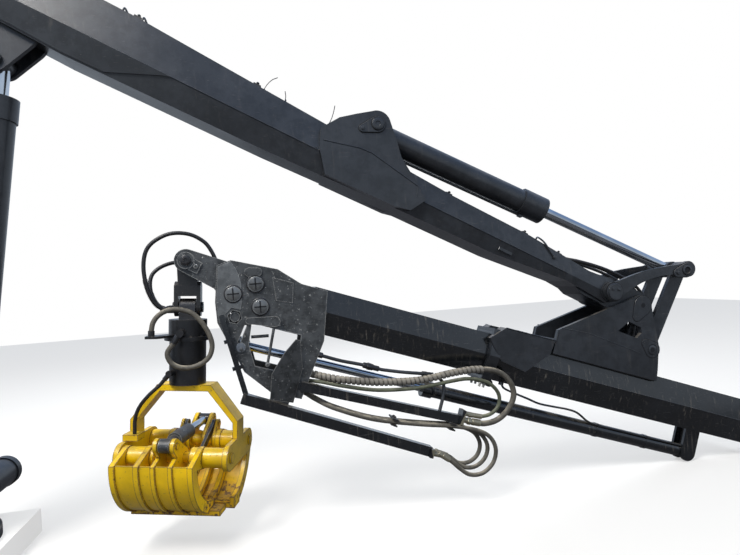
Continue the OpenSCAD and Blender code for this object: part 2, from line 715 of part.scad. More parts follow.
module hose_tubes() {
    color("#1d1f22") at_tip() {
        square_tube(upper_tube[0], upper_tube[1], upper_tube_w, upper_tube_y);
        square_tube(lower_tube[0], lower_tube[1], lower_tube_w, lower_tube_y);
    }
    // End plates and ferrules that the looped hoses leave from
    color("#9a8f6a") at_stick() {
        for (route = [low_hose_1, low_hose_2, low_hose_3]) ferrule(route[0], 13);
        translate([low_hose_1[0][0] - ferrule_len - 10, -186, low_hose_1[0][2] - 22]) cube([20, 82, 44]);
        ferrule(guarded_hose[0], 15);
        ferrule(inner_hose[0], 13);
        translate([guarded_hose[0][0] - ferrule_len - 10, -182, -888]) cube([20, 62, 76]);
    }
}

// A hose's end fitting, which runs back from the start of its route
module ferrule(start, r) {
    translate(start) rotate([0, -90, 0]) cylinder(r = r, h = ferrule_len - 10);
}

module port_block() {
    color("#3a3c3f") at_stick() translate([port_x - port_len, -tip_y, port_low])
        cube([port_len, 2 * tip_y, port_top - port_low]);
}

// Bent plate that stands out from the tip's side plate and shields the hoses
module tip_guard() {
    color("#8a8c8c") at_tip() intersection() {
        plate(-tip_y - 120, 120 - tip_t) polygon([[563, -547], [537, -423], [571, -311], [609, -237],
            [633, -237], [690, -392], [690, -547]]);
        translate([0, 0, -600]) linear_extrude(400)
            polygon([[528, -tip_y - 90], [683, -tip_y - tip_t + 2], [683, -tip_y - tip_t - 8],
                [534, -tip_y - 98]]);
    }
}

// Bar, rod and cross pin on the tip's window
module tip_latch() {
    near = -tip_y - tip_t;
    color("#8a8c8c") at_tip() {
        plate(near - 26, 26) bar([366, -206], [488, -178], 16, 26);
        translate([0, near - 14, 0]) rod_between([490, -190], [509, -391], 7);
        translate([509, near, -391]) rotate([90, 0, 0]) cylinder(r = 11, h = 24);
    }
}

module square_tube(p, q, w, y) {
    a = atan2(q[1] - p[1], q[0] - p[0]);
    translate([p[0], y - w / 2, p[1]]) rotate([0, -a, 0]) translate([0, 0, -w / 2])
        cube([norm(q - p), w, w]);
}

module hose_guide() {
    y = -tip_y - tip_t - 12;
    color("#1d1f22") at_tip() difference() {
        union() {
            square_tube(guide_bar[0], guide_bar[1], 24, y);
            square_tube([280, -336], [325, -310], 18, y);
            square_tube([353, -452], [398, -426], 18, y);
        }
        square_tube(lower_tube[0], lower_tube[1], lower_tube_w, lower_tube_y);
    }
}

module low_hose_a() { color("#6b665c") at_stick() hose(low_hose_1, low_hose_r); }
module low_hose_b() { color("#6b665c") at_stick() hose(low_hose_2, low_hose_r); }
module low_hose_c() { color("#6b665c") at_stick() hose(low_hose_3, low_hose_r); }
module guarded_loop() { color("#6b665c") at_stick() hose(guarded_hose, guard_r); }
module inner_loop() { color("#5f6a4a") at_stick() hose(inner_hose, inner_hose_r); }
module rotator_loop() { color("#6b665c") at_hang() hose(rotator_hose, rotator_hose_r); }
module grapple_loop() { color("#1b1c1d") at_grab() hose(grapple_hose, grapple_hose_r); }

// Pipes along the top of the boom and the blocks that hold them
module boom_pipes() {
    gap = 2 * pipe_r + 8;
    up = [0, pipe_lift];
    color("#1b1c1d") at_knuckle_of_boom() difference() {
        union() {
            for (y = [-gap, 0, gap], i = [0 : len(pipe_blocks) - 2])
                translate([0, y, 0]) rod_between(pipe_blocks[i] + up, pipe_blocks[i + 1] + up, pipe_r);
            for (p = pipe_blocks) translate([p[0] - 20, -gap - pipe_r - 4, p[1] - 10])
                cube([40, 2 * (gap + pipe_r + 4), pipe_lift + pipe_r + 15]);
        }
        translate([-boom_len, 0, 0]) boom_beam();
    }
}

module hanging_link() {
    ear_x = eye_w + side_gap;
    color("#26282a") at_hang() difference() {
        union() {
            plate(-eye_w, 2 * eye_w) bar([0, 0], [0, -hang_len + 112], 52, 46);
            translate([-ear_x - 20, -46, -hang_len + 56]) cube([2 * ear_x + 40, 92, 54]);
            for (x = [-ear_x - 20, ear_x]) along_x(x, 20) bar([0, -hang_len + 83], [0, -hang_len], 46, 46);
        }
        cross_pin([0, 0], pin_r + pin_gap, -400, 400);
    }
    color("#26282a") at_hang() translate([-ear_x - 30, 0, -hang_len]) rotate([0, 90, 0])
        cylinder(r = link_pin_r, h = 2 * ear_x + 60);
}

module rotator_body() {
    color("#26282a") at_hang() {
        translate([0, 0, -rotator_flange]) cylinder(r = rotator_r, h = rotator_flange - hang_len - 60);
        translate([0, 0, -rotator_flange - 20]) cylinder(r = rotator_flange_r, h = 20);
        translate([0, 0, -rotator_flange]) linear_extrude(hose_foot_t)
            polygon([[-40, -95], [-120, -168], [-172, -168], [-172, -112], [-95, -40]]);
        translate([rotator_hose[0][0], rotator_hose[0][1], -rotator_flange + hose_foot_t])
            cylinder(r = rotator_hose_r + 3, h = rotator_hose[0][2] + rotator_flange - hose_foot_t);
        elbow(rotator_hose[len(rotator_hose) - 1], [-20, -140, -349], rotator_hose_r + 3, rotator_r - 30);
        difference() {
            along_x(-eye_w, 2 * eye_w) bar([0, -hang_len], [0, -hang_len - 80], 44, 60);
            translate([-eye_w - 1, 0, -hang_len]) rotate([0, 90, 0])
                cylinder(r = link_pin_r + pin_gap, h = 2 * eye_w + 2);
            translate([0, 0, -rotator_flange - 20]) cylinder(r = rotator_flange_r, h = 20);
        }
    }
}

// An elbow fitting: it reaches from the body to a corner, then turns along the hose's end
module elbow(end, corner, r, depth) {
    d = end - corner;
    translate(corner) {
        rotate([0, 90 - atan2(d[2], d[0]), 0]) cylinder(r = r, h = norm(d));
        translate([0, -r - 4, 0]) rotate([-90, 0, 0]) cylinder(r = r + 3, h = r + 4 - corner[1] - depth);
    }
}

// Lower half of the rotator, which turns with the grapple
module rotator_foot() {
    color("#26282a") at_grab() {
        translate([0, 0, -grab_top]) cylinder(r = rotator_r - 4, h = grab_top - rotator_flange - 20 - play);
        elbow(grapple_hose[0], [-44, -110, -545], grapple_hose_r + 3, rotator_r - 30);
    }
}

module grapple_frame() {
    side = grab_w / 2;
    color("#e8c615") at_grab() {
        rotate([90, 0, 0]) translate([0, 0, -50]) linear_extrude(100) difference() {
            polygon([[-135, -grab_top], [135, -grab_top], [side, -grab_top - 175], [side, -grab_hinge],
                [-side, -grab_hinge], [-side, -grab_top - 175]]);
            polygon([[-120, -grab_top - 32], [120, -grab_top - 32], [side - rib_t, -grab_top - 185],
                [side - rib_t, -grab_hinge - 1], [-side + rib_t, -grab_hinge - 1],
                [-side + rib_t, -grab_top - 185]]);
        }
        for (turn = [0, 180]) rotate([0, 0, turn]) hinge_side();
        // Block that the hose ends in, on the arch's left leg
        translate([-side + 5, grapple_hose[0][1] - 20, -grab_hinge + 64]) cube([75, 67, 30]);
    }
}

// End plate of the frame with the drum that carries one tine's hinge pin
module hinge_side() {
    side = grab_w / 2;
    drum = hub_right + side_gap;
    translate([0, 0, -grab_hinge]) difference() {
        union() {
            along_x(side - rib_t, rib_t) bar([-hinge_half, 0], [hinge_half, 0], 60, 60);
            translate([drum, -hinge_half, 0]) rotate([0, 90, 0]) cylinder(r = hub_r, h = side - rib_t - drum);
        }
        for (y = [-1, 1]) translate([0, y * hinge_half, 0]) rotate([0, 90, 0])
            cylinder(r = tine_pin_r, h = side + 1);
    }
    translate([-side - 10, -hinge_half, -grab_hinge]) rotate([0, 90, 0])
        cylinder(r = tine_pin_r, h = 2 * side + 20);
}

// Outline of one tine across the grapple, from the middle between the hinges
module tine_outline() {
    difference() {
        circle(tine_r);
        circle(tine_r - 55);
        translate([-2 * tine_r, 0]) square(4 * tine_r);
        translate([-5, -2 * tine_r]) square(4 * tine_r);
    }
    polygon([[-tine_r, 0], [-hinge_half - 20, 50], [-hinge_half, 0], [-hinge_half, -50],
        [-tine_r + 50, -30]]);
    translate([-hinge_half, 0]) circle(50);
}

// One tine: ribs, drum, skin and cutting beam, with the ears of cylinder and side links; the far one is
// the near one turned round, so its links sit above the hinge instead of below
module tine(near) {
    hub_left = -grab_w / 2 + rib_t + side_gap;
    lug = [-hinge_half - lug_r * sin(lug_lean), lug_r * cos(lug_lean)];
    link = link_place(near);
    difference() {
        union() {
            for (x = [hub_left, -link_in - 20 - rib_t, link_in + 20 + 15]) along_x(x, rib_t) tine_outline();
            for (x = [-ear_in - ear_t, ear_in]) along_x(x, ear_t) {
                tine_outline();
                bar([-hinge_half, 0], lug, 46, 34);
            }
            for (x = [-link_in - 15, link_in]) along_x(x, 15) bar([-hinge_half, 0], link, 40, 24);
            drum(hub_left, -link_in);
            drum(link_in, hub_right);
            along_x(hub_left, hub_right - hub_left) difference() {
                circle(tine_r - 8);
                circle(tine_r - 18);
                translate([-2 * tine_r, 0]) square(4 * tine_r);
                translate([-12, -2 * tine_r]) square(4 * tine_r);
            }
            along_x(hub_left, 440) translate([-90, -tine_r]) square([84, 26]);
        }
        translate([-grab_w / 2, -hinge_half, 0]) rotate([0, 90, 0])
            cylinder(r = tine_pin_r + pin_gap, h = grab_w);
    }
    for (turn = [0, 180]) {
        stub = ear_in + ear_t + 6;
        translate([turn ? -stub : ear_in, lug[0], lug[1]]) rotate([0, 90, 0])
            cylinder(r = lug_pin_r, h = stub - ear_in);
        start = turn ? -link_in - 20 : (near ? link_in - 20 : link_in);
        translate([start, link[0], link[1]]) rotate([0, 90, 0]) cylinder(r = link_pin, h = near ? 40 : 20);
    }
    if (near) translate([-ear_in, lug[0], lug[1]]) rotate([0, 90, 0]) cylinder(r = lug_pin_r, h = 2 * ear_in);
}

module drum(x0, x1) { translate([x0, -hinge_half, 0]) rotate([0, 90, 0]) cylinder(r = hub_r, h = x1 - x0); }

module near_tine() { color("#e8c615") at_grab() translate([0, 0, -grab_hinge]) tine(true); }
module far_tine() {
    color("#e8c615") at_grab() translate([0, 0, -grab_hinge]) rotate([0, 0, 180]) tine(false);
}

module grapple_barrel() {
    reach = hinge_half + lug_r * sin(lug_lean);
    color("#8d8f90") at_grab() translate([0, -reach, -grab_hinge + lug_r * cos(lug_lean)]) difference() {
        union() {
            rotate([0, 90, 0]) cylinder(r = 32, h = 2 * ear_in - 10, center = true);
            rotate([-90, 0, 0]) cylinder(r = ear_in - side_gap, h = 92);
            translate([0, 90, 0]) rotate([-90, 0, 0]) cylinder(r = 36, h = grab_barrel_len - 90);
        }
        rotate([0, 90, 0]) cylinder(r = lug_pin_r + pin_gap, h = 2 * ear_in, center = true);
        translate([0, 40, 0]) rotate([-90, 0, 0]) cylinder(r = grab_rod_r + pin_gap, h = grab_barrel_len);
    }
}

module grapple_rod() {
    reach = hinge_half + lug_r * sin(lug_lean);
    color("#b9c2cc") at_grab() translate([0, reach, -grab_hinge + lug_r * cos(lug_lean)]) {
        rotate([0, 90, 0]) cylinder(r = 30, h = 2 * ear_in - 10, center = true);
        rotate([90, 0, 0]) cylinder(r = grab_rod_r, h = 2 * reach - grab_barrel_len + 22);
    }
}

module grapple_links() {
    from = link_place(true);
    to = [-link_place(false)[0], link_place(false)[1]];
    color("#8d8f90") at_grab() translate([0, 0, -grab_hinge]) for (x = [-link_in + 5, link_in - 20])
        difference() {
            along_x(x, 15) eye_bar(from, to, 22, 17);
            translate([x - 1, from[0], from[1]]) rotate([0, 90, 0])
                cylinder(r = link_pin + pin_gap, h = 17);
        }
}

base_flange();
rack_cylinders();
pillar();
lift_barrel();
lift_rod();
main_boom();
hump_bracket();
stick_barrel();
stick_rod();
rocker_arms();
coupler_links();
stick_box();
stick_bracket();
mouth_collar();
telescope_barrel();
extension_beam();
tip_plates();
tip_plugs();
tip_arm();
telescope_rod();
hose_tubes();
hose_guide();
hanging_link();
rotator_body();
rotator_foot();
grapple_frame();
near_tine();
far_tine();
grapple_barrel();
grapple_rod();
grapple_links();
boom_pipes();
port_block();
tip_guard();
tip_latch();
low_hose_a();
low_hose_b();
low_hose_c();
guarded_loop();
inner_loop();
rotator_loop();
grapple_loop();
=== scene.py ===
import json
import math
import random
import bpy
import bmesh
from mathutils import Matrix, Vector


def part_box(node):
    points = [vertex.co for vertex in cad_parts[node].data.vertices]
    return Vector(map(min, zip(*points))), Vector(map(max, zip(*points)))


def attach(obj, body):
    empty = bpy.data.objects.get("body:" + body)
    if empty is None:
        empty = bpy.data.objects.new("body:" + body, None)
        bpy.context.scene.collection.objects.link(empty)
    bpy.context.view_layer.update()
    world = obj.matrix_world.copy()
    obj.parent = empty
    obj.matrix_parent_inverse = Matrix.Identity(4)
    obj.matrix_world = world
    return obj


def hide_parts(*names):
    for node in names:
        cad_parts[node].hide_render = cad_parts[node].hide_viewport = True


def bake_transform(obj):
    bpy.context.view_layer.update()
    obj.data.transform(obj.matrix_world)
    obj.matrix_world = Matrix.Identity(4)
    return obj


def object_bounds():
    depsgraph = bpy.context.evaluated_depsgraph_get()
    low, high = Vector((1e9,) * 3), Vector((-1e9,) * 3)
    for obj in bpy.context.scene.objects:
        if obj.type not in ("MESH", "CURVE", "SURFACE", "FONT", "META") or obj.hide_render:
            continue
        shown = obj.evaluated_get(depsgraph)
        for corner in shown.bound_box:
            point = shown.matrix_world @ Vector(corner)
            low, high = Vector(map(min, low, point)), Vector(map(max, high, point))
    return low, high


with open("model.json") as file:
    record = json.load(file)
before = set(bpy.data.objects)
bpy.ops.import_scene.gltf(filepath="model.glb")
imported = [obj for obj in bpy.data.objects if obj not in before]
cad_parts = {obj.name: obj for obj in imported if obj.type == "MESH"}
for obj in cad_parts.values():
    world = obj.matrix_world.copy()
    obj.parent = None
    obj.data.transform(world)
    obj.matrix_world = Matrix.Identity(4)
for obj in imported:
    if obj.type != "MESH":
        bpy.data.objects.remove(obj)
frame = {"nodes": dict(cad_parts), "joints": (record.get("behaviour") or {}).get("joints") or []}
CAD_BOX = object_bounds()
nodes = frame["nodes"]
joints = {joint["name"]: joint for joint in frame["joints"]}

# Camera. It looks across the folded crane from the near side, turned a little towards the knuckle and tipped
# to one side. Focal length and place are fitted to the crane.
CAMERA_PLACE = Vector((1.600, -2.790, 1.120))
YAW = math.radians(12.0)
ROLL = math.radians(3.8)
FOCAL_PIXELS = 528.0
IMAGE_WIDTH = 740.0
SENSOR = 36.0
ahead = Vector((math.sin(YAW), math.cos(YAW), 0.0))
level_right = Vector((math.cos(YAW), -math.sin(YAW), 0.0))
level_up = Vector((0.0, 0.0, 1.0))
right = math.cos(ROLL) * level_right - math.sin(ROLL) * level_up
up = math.sin(ROLL) * level_right + math.cos(ROLL) * level_up
lens = bpy.data.cameras.new("camera")
lens.sensor_width = SENSOR
lens.lens = FOCAL_PIXELS / IMAGE_WIDTH * SENSOR
lens.clip_start = 0.02
camera = bpy.data.objects.new("camera", lens)
camera.matrix_world = Matrix((
    (right.x, up.x, -ahead.x, CAMERA_PLACE.x),
    (right.y, up.y, -ahead.y, CAMERA_PLACE.y),
    (right.z, up.z, -ahead.z, CAMERA_PLACE.z),
    (0.0, 0.0, 0.0, 1.0)))
bpy.context.scene.collection.objects.link(camera)
bpy.context.scene.camera = camera

# Places. Four frames in millimetres follow the crane's own pins: the boom's and the stick's start at the
# knuckle, the hanging gear's and the grapple's at the tip pin. ROW is the crane's own frame, in metres.
SIDE = Vector((0.0, 1.0, 0.0))
ROW = Matrix.Identity(4)


def placed(origin, along, upward):
    """Matrix from a frame in millimetres to the row frame in metres."""
    across = upward.cross(along)
    columns = (along.normalized(), across.normalized(), upward.normalized())
    rows = [[0.001 * column[i] for column in columns] + [origin[i]] for i in range(3)]
    return Matrix(rows + [[0.0, 0.0, 0.0, 1.0]])


knuckle = Vector(joints["stick_fold"]["pos_m"])
boom_root = Vector(joints["boom_lift"]["pos_m"])
tip_pin = Vector(joints["link_swing"]["pos_m"])
boom_way = (knuckle - boom_root).normalized()
stick_way = -Vector(joints["telescope"]["axis"])
hang_up = Vector(joints["rotator_turn"]["axis"])
BOOM = placed(knuckle, boom_way, boom_way.cross(SIDE))
STICK = placed(knuckle, stick_way, stick_way.cross(SIDE))
HANG = placed(tip_pin, SIDE.cross(hang_up), hang_up)
GRAB = placed(tip_pin, Vector(joints["far_tine_open"]["axis"]), hang_up)


def to_world(place, points):
    """Points of a millimetre frame in the row frame."""
    return [place @ Vector(point) for point in points]


# Hoses. Five rubber hoses loop under the stick to the ports between the tip plates, one loops in front of the
# rotator and one runs down inside the grapple's frame. Their routes are those of the part's own hoses.
HOSE_ROUTES = {
    "low_hose_a": (STICK, "extension", 11.0, [
        (-993, -169, -1064), (-935, -169, -1083), (-880, -169, -1110), (-815, -169, -1130),
        (-745, -169, -1107), (-703, -169, -1043), (-708, -169, -970), (-760, -169, -915), (-845, -169, -898),
        (-980, -169, -906), (-1180, -169, -937), (-1400, -167, -960), (-1600, -156, -952),
        (-1700, -112, -938), (-1764, -82, -922), (-1840, -76, -912)]),
    "low_hose_b": (STICK, "extension", 11.0, [
        (-993, -145, -1064), (-935, -145, -1076), (-850, -145, -1104), (-785, -145, -1088),
        (-744, -145, -1035), (-746, -145, -970), (-795, -145, -920), (-870, -145, -904), (-980, -145, -906),
        (-1180, -145, -937), (-1400, -143, -960), (-1600, -130, -952), (-1700, -84, -938), (-1764, -56, -922),
        (-1840, -48, -912)]),
    "low_hose_c": (STICK, "extension", 11.0, [
        (-993, -121, -1064), (-935, -121, -1072), (-875, -121, -1094), (-815, -121, -1078),
        (-778, -121, -1030), (-780, -121, -970), (-825, -121, -923), (-895, -121, -907), (-980, -121, -906),
        (-1180, -121, -937), (-1400, -119, -960), (-1600, -104, -952), (-1700, -56, -938), (-1764, -30, -922),
        (-1840, -20, -912)]),
    "guarded_loop": (STICK, "extension", 15.0, [
        (-874, -160, -862), (-800, -160, -856), (-730, -160, -818), (-684, -160, -748),
        (-676, -160, -668), (-725, -160, -601), (-810, -160, -573), (-920, -160, -590), (-1040, -160, -636),
        (-1210, -160, -715), (-1415, -160, -773), (-1590, -156, -803), (-1680, -122, -815),
        (-1748, -81, -821), (-1840, -64, -824)]),
    "inner_loop": (STICK, "extension", 10.0, [
        (-874, -160, -828), (-830, -160, -824), (-780, -160, -800), (-748, -160, -752),
        (-757, -160, -695), (-803, -160, -655), (-870, -160, -640), (-960, -160, -650), (-1060, -160, -690),
        (-1210, -160, -756), (-1415, -160, -814), (-1590, -155, -834), (-1690, -118, -844),
        (-1765, -80, -858), (-1840, -64, -866)]),
    "rotator_loop": (HANG, "rotator", 12.0, [
        (-148, -140, -335), (-141, -140, -298), (-119, -140, -265), (-82, -140, -242),
        (-30, -140, -235), (30, -140, -252), (75, -140, -293), (112, -140, -352), (128, -140, -412),
        (112, -140, -468), (62, -140, -504), (0, -140, -514), (-55, -140, -492), (-76, -140, -443),
        (-48, -140, -396)]),
    "grapple_loop": (GRAB, "grapple", 9.0, [
        (-70, -110, -575), (-96, -110, -605), (-150, -112, -655), (-192, -112, -708),
        (-212, -112, -765), (-214, -112, -838)]),
}
HOSE_STEPS = 7
HOSE_SIDES = 16


def smooth_path(points, steps):
    """A round curve through points, with that many steps between two of them."""
    ends = [2 * points[0] - points[1]] + points + [2 * points[-1] - points[-2]]
    path = []
    for before, start, end, after in zip(ends, ends[1:], ends[2:], ends[3:]):
        for step in range(steps):
            t = step / steps
            bend = (2 * before - 5 * start + 4 * end - after) * t * t
            twist = (3 * start - before - 3 * end + after) * t * t * t
            path.append(0.5 * (2 * start + (end - before) * t + bend + twist))
    return path + [points[-1]]


def rings_along(path):
    """Two unit vectors square to the path at each of its points, carried along without twist."""
    tangent = (path[1] - path[0]).normalized()
    side = tangent.orthogonal().normalized()
    frames = []
    for index, point in enumerate(path):
        ahead_point = path[min(index + 1, len(path) - 1)]
        behind_point = path[max(index - 1, 0)]
        tangent = (ahead_point - behind_point).normalized()
        side = (side - side.dot(tangent) * tangent).normalized()
        frames.append((point, side, tangent.cross(side)))
    return frames


def close_rings(shape, rings, hollow=False):
    """Skins rings of equal corner counts and caps both ends, or joins the last ring to the first."""
    count = len(rings[0])
    for first, second in zip(rings, rings[1:] + rings[:1] if hollow else rings[1:]):
        for corner in range(count):
            after = (corner + 1) % count
            shape.faces.new((first[corner], first[after], second[after], second[corner]))
    if not hollow:
        shape.faces.new(list(reversed(rings[0])))
        shape.faces.new(rings[-1])


def add_tube(shape, path, radii, sides):
    """Adds a closed tube along a path to a mesh; radii is a number or one number for each point."""
    rings = []
    for index, (point, u, v) in enumerate(rings_along(path)):
        radius = radii if isinstance(radii, float) else radii[index]
        corners = []
        for corner in range(sides):
            turn = 2 * math.pi * corner / sides
            corners.append(shape.verts.new(point + radius * (math.cos(turn) * u + math.sin(turn) * v)))
        rings.append(corners)
    close_rings(shape, rings)


def shade_round(mesh, degrees):
    """Shades a mesh round, apart from edges sharper than an angle."""
    for face in mesh.polygons:
        face.use_smooth = True
    mesh.set_sharp_from_angle(angle=math.radians(degrees))


def make_object(name, shape, material=None):
    """Turns a mesh under construction into an object that is round in its curves and hard at its edges."""
    bmesh.ops.recalc_face_normals(shape, faces=shape.faces)
    mesh = bpy.data.meshes.new(name)
    shape.to_mesh(mesh)
    shape.free()
    piece = bpy.data.objects.new(name, mesh)
    bpy.context.scene.collection.objects.link(piece)
    shade_round(mesh, 38.0)
    if material:
        mesh.materials.append(material)
    return piece


def make_piece(name, shape, body, material=None):
    """Turns a mesh under construction into a piece that rides on a body."""
    piece = make_object(name, shape, material)
    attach(piece, body)
    return piece


hose_paths = {}
hose_pieces = {}
for label, (place, body, radius, points) in HOSE_ROUTES.items():
    path = smooth_path(to_world(place, points), HOSE_STEPS)
    tube = bmesh.new()
    add_tube(tube, path, radius * 0.001, HOSE_SIDES)
    hose_pieces[label] = make_piece(label + "_rubber", tube, body)
    hose_paths[label] = path
    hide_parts(label)

# Spiral guard. A plastic strip is wound round the upper loop from its fitting to the tip, with a gap between
# its turns.
GUARD_RADIUS = 0.0195
GUARD_PITCH = 0.024
GUARD_STRIP = 0.017
GUARD_THICK = 0.0028
GUARD_SPAN = (0.36, 0.97)


def wind_strip(shape, path, span, radius, pitch, width, thick, per_turn=14):
    """Adds a flat strip wound round part of a path."""
    frames = rings_along(path)
    reach = [0.0]
    for a, b in zip(path, path[1:]):
        reach.append(reach[-1] + (b - a).length)
    start, end = (share * reach[-1] for share in span)
    turns = (end - start) / pitch
    count = int(turns * per_turn)
    previous = None
    for step in range(count + 1):
        here = start + (end - start) * step / count
        index = max(i for i in range(len(reach)) if reach[i] <= here)
        index = min(index, len(path) - 2)
        t = (here - reach[index]) / (reach[index + 1] - reach[index])
        centre = frames[index][0].lerp(frames[index + 1][0], t)
        u = frames[index][1].lerp(frames[index + 1][1], t).normalized()
        v = frames[index][2].lerp(frames[index + 1][2], t).normalized()
        tangent = u.cross(v)
        turn = 2 * math.pi * (here - start) / pitch
        out = math.cos(turn) * u + math.sin(turn) * v
        edge = 0.5 * width * tangent
        ring = [shape.verts.new(centre + radius * out - edge), shape.verts.new(centre + radius * out + edge),
                shape.verts.new(centre + (radius - thick) * out + edge),
                shape.verts.new(centre + (radius - thick) * out - edge)]
        if previous:
            for corner in range(4):
                after = (corner + 1) % 4
                shape.faces.new((previous[corner], previous[after], ring[after], ring[corner]))
        else:
            shape.faces.new(ring)
        previous = ring
    shape.faces.new(list(reversed(previous)))


wrap = bmesh.new()
wind_strip(wrap, hose_paths["guarded_loop"], GUARD_SPAN, GUARD_RADIUS, GUARD_PITCH, GUARD_STRIP, GUARD_THICK)
guard = make_piece("spiral_guard", wrap, "extension")


# Black crane paint. The pillar, main boom, cylinders and linkage are satin black, with road dust lying on
# the upward faces, rain streaks down the sides, and bare steel where edges and hoses have rubbed.
def new_group(name, inputs, outputs):
    """An empty shader group with number inputs {name: default} and number outputs by name."""
    group = bpy.data.node_groups.new(name, "ShaderNodeTree")
    for label, default in inputs.items():
        socket = group.interface.new_socket(label, in_out="INPUT", socket_type="NodeSocketFloat")
        socket.default_value = default
    for label in outputs:
        group.interface.new_socket(label, in_out="OUTPUT", socket_type="NodeSocketFloat")
    return group, group.nodes.new("NodeGroupInput"), group.nodes.new("NodeGroupOutput")


def add(tree, kind, values=None, links=None, **settings):
    """A node in a tree, with its settings, unlinked socket values and incoming links."""
    node = tree.nodes.new(kind)
    for label, value in settings.items():
        setattr(node, label, value)
    for socket, value in (values or {}).items():
        node.inputs[socket].default_value = value
    for socket, source in (links or {}).items():
        tree.links.new(source, node.inputs[socket])
    return node


def feed(tree, socket, value):
    """Links a socket to another node's output, or sets it to a number or an rgb tuple."""
    if isinstance(value, bpy.types.NodeSocket):
        tree.links.new(value, socket)
    else:
        socket.default_value = (*value, 1.0) if isinstance(value, tuple) else value


def math_node(tree, operation, a, b, clamp=False):
    """A math node whose inputs are sockets or numbers; returns its output."""
    node = add(tree, "ShaderNodeMath", operation=operation, use_clamp=clamp)
    feed(tree, node.inputs[0], a)
    feed(tree, node.inputs[1], b)
    return node.outputs[0]


def product(tree, a, b):
    """Output of a math node that multiplies two sockets or numbers."""
    return math_node(tree, "MULTIPLY", a, b)


def ramp(tree, source, low, high):
    """Maps a value from low..high to 0..1, smoothly and clamped."""
    node = add(tree, "ShaderNodeMapRange", {"From Min": low, "From Max": high}, {"Value": source},
               interpolation_type="SMOOTHSTEP")
    return node.outputs["Result"]


def stretched_noise(tree, scale, detail=5.0, roughness=0.6, stretch=(1.0, 1.0, 1.0)):
    """Noise in object space; scale is a socket or a number, and stretch scales each axis."""
    place = add(tree, "ShaderNodeTexCoord")
    mapping = add(tree, "ShaderNodeMapping", {"Scale": stretch}, {"Vector": place.outputs["Object"]})
    noise = add(tree, "ShaderNodeTexNoise", {"Detail": detail, "Roughness": roughness},
                {"Vector": mapping.outputs["Vector"]})
    feed(tree, noise.inputs["Scale"], scale)
    return noise.outputs["Fac"]


DUST, tree_in, tree_out = new_group("road dust", {"Top": 0.6, "Streaks": 0.4, "Scale": 1.0}, ["Mask"])
surface = add(DUST, "ShaderNodeNewGeometry")
facing = add(DUST, "ShaderNodeSeparateXYZ", links={"Vector": surface.outputs["Normal"]})
lying = ramp(DUST, facing.outputs["Z"], 0.35, 0.95)
broad = stretched_noise(DUST, product(DUST, tree_in.outputs["Scale"], 5.0))
lying = product(DUST, lying, ramp(DUST, broad, 0.38, 0.62))
streaks = stretched_noise(DUST, product(DUST, tree_in.outputs["Scale"], 3.0),
                          stretch=(16.0, 16.0, 0.8))
streaks = product(DUST, ramp(DUST, streaks, 0.54, 0.80), ramp(DUST, broad, 0.35, 0.7))
spots = product(DUST, ramp(DUST, stretched_noise(DUST, 160.0), 0.6, 0.75), 0.35)
total = math_node(DUST, "ADD", product(DUST, lying, tree_in.outputs["Top"]),
                  product(DUST, streaks, tree_in.outputs["Streaks"]))
total = math_node(DUST, "ADD", total, product(DUST, spots, tree_in.outputs["Streaks"]),
                  clamp=True)
DUST.links.new(total, tree_out.inputs["Mask"])

CHIPS, tree_in, tree_out = new_group("chips and scratches", {"Chips": 0.3, "Scratches": 0.3, "Scale": 1.0},
                                     ["Mask"])
flakes = stretched_noise(CHIPS, product(CHIPS, tree_in.outputs["Scale"], 38.0), 8.0, 0.7)
threshold = math_node(CHIPS, "SUBTRACT", 0.78, product(CHIPS, tree_in.outputs["Chips"], 0.26))
flakes = ramp(CHIPS, math_node(CHIPS, "SUBTRACT", flakes, threshold), 0.0, 0.02)
lines = stretched_noise(CHIPS, product(CHIPS, tree_in.outputs["Scale"], 4.0), 3.0, 0.5,
                        (2.0, 60.0, 60.0))
lines = product(CHIPS, ramp(CHIPS, lines, 0.66, 0.7), tree_in.outputs["Scratches"])
CHIPS.links.new(math_node(CHIPS, "MAXIMUM", flakes, lines, clamp=True), tree_out.inputs["Mask"])

GRAIN, tree_in, tree_out = new_group("surface grain", {"Scale": 300.0, "Waves": 0.5}, ["Height"])
small = stretched_noise(GRAIN, tree_in.outputs["Scale"], 3.0)
wide = product(GRAIN, stretched_noise(GRAIN, 9.0, 2.0, 0.5), tree_in.outputs["Waves"])
GRAIN.links.new(math_node(GRAIN, "ADD", small, wide), tree_out.inputs["Height"])

# Rubbed edges: where the rounded normal leaves the face's own, the surface is close to an edge.
EDGES, tree_in, tree_out = new_group("rubbed edges", {"Amount": 0.5, "Width": 0.004}, ["Mask"])
rounded = add(EDGES, "ShaderNodeBevel", links={"Radius": tree_in.outputs["Width"]}, samples=6)
flat = add(EDGES, "ShaderNodeNewGeometry")
apart = add(EDGES, "ShaderNodeVectorMath", links={0: rounded.outputs["Normal"], 1: flat.outputs["Normal"]},
            operation="DOT_PRODUCT")
near_edge = ramp(EDGES, math_node(EDGES, "SUBTRACT", 1.0, apart.outputs["Value"]), 0.004, 0.10)
level = math_node(EDGES, "SUBTRACT", 0.74, product(EDGES, tree_in.outputs["Amount"], 0.40))
broken = math_node(EDGES, "SUBTRACT", stretched_noise(EDGES, 46.0, 7.0, 0.7), level)
EDGES.links.new(product(EDGES, near_edge, ramp(EDGES, broken, 0.0, 0.06)),
                tree_out.inputs["Mask"])


def group_node(tree, group, *values):
    """A placed group with its own values, in the order of the group's inputs."""
    node = add(tree, "ShaderNodeGroup", node_tree=group)
    for socket, value in zip(node.inputs, values):
        socket.default_value = value
    return node


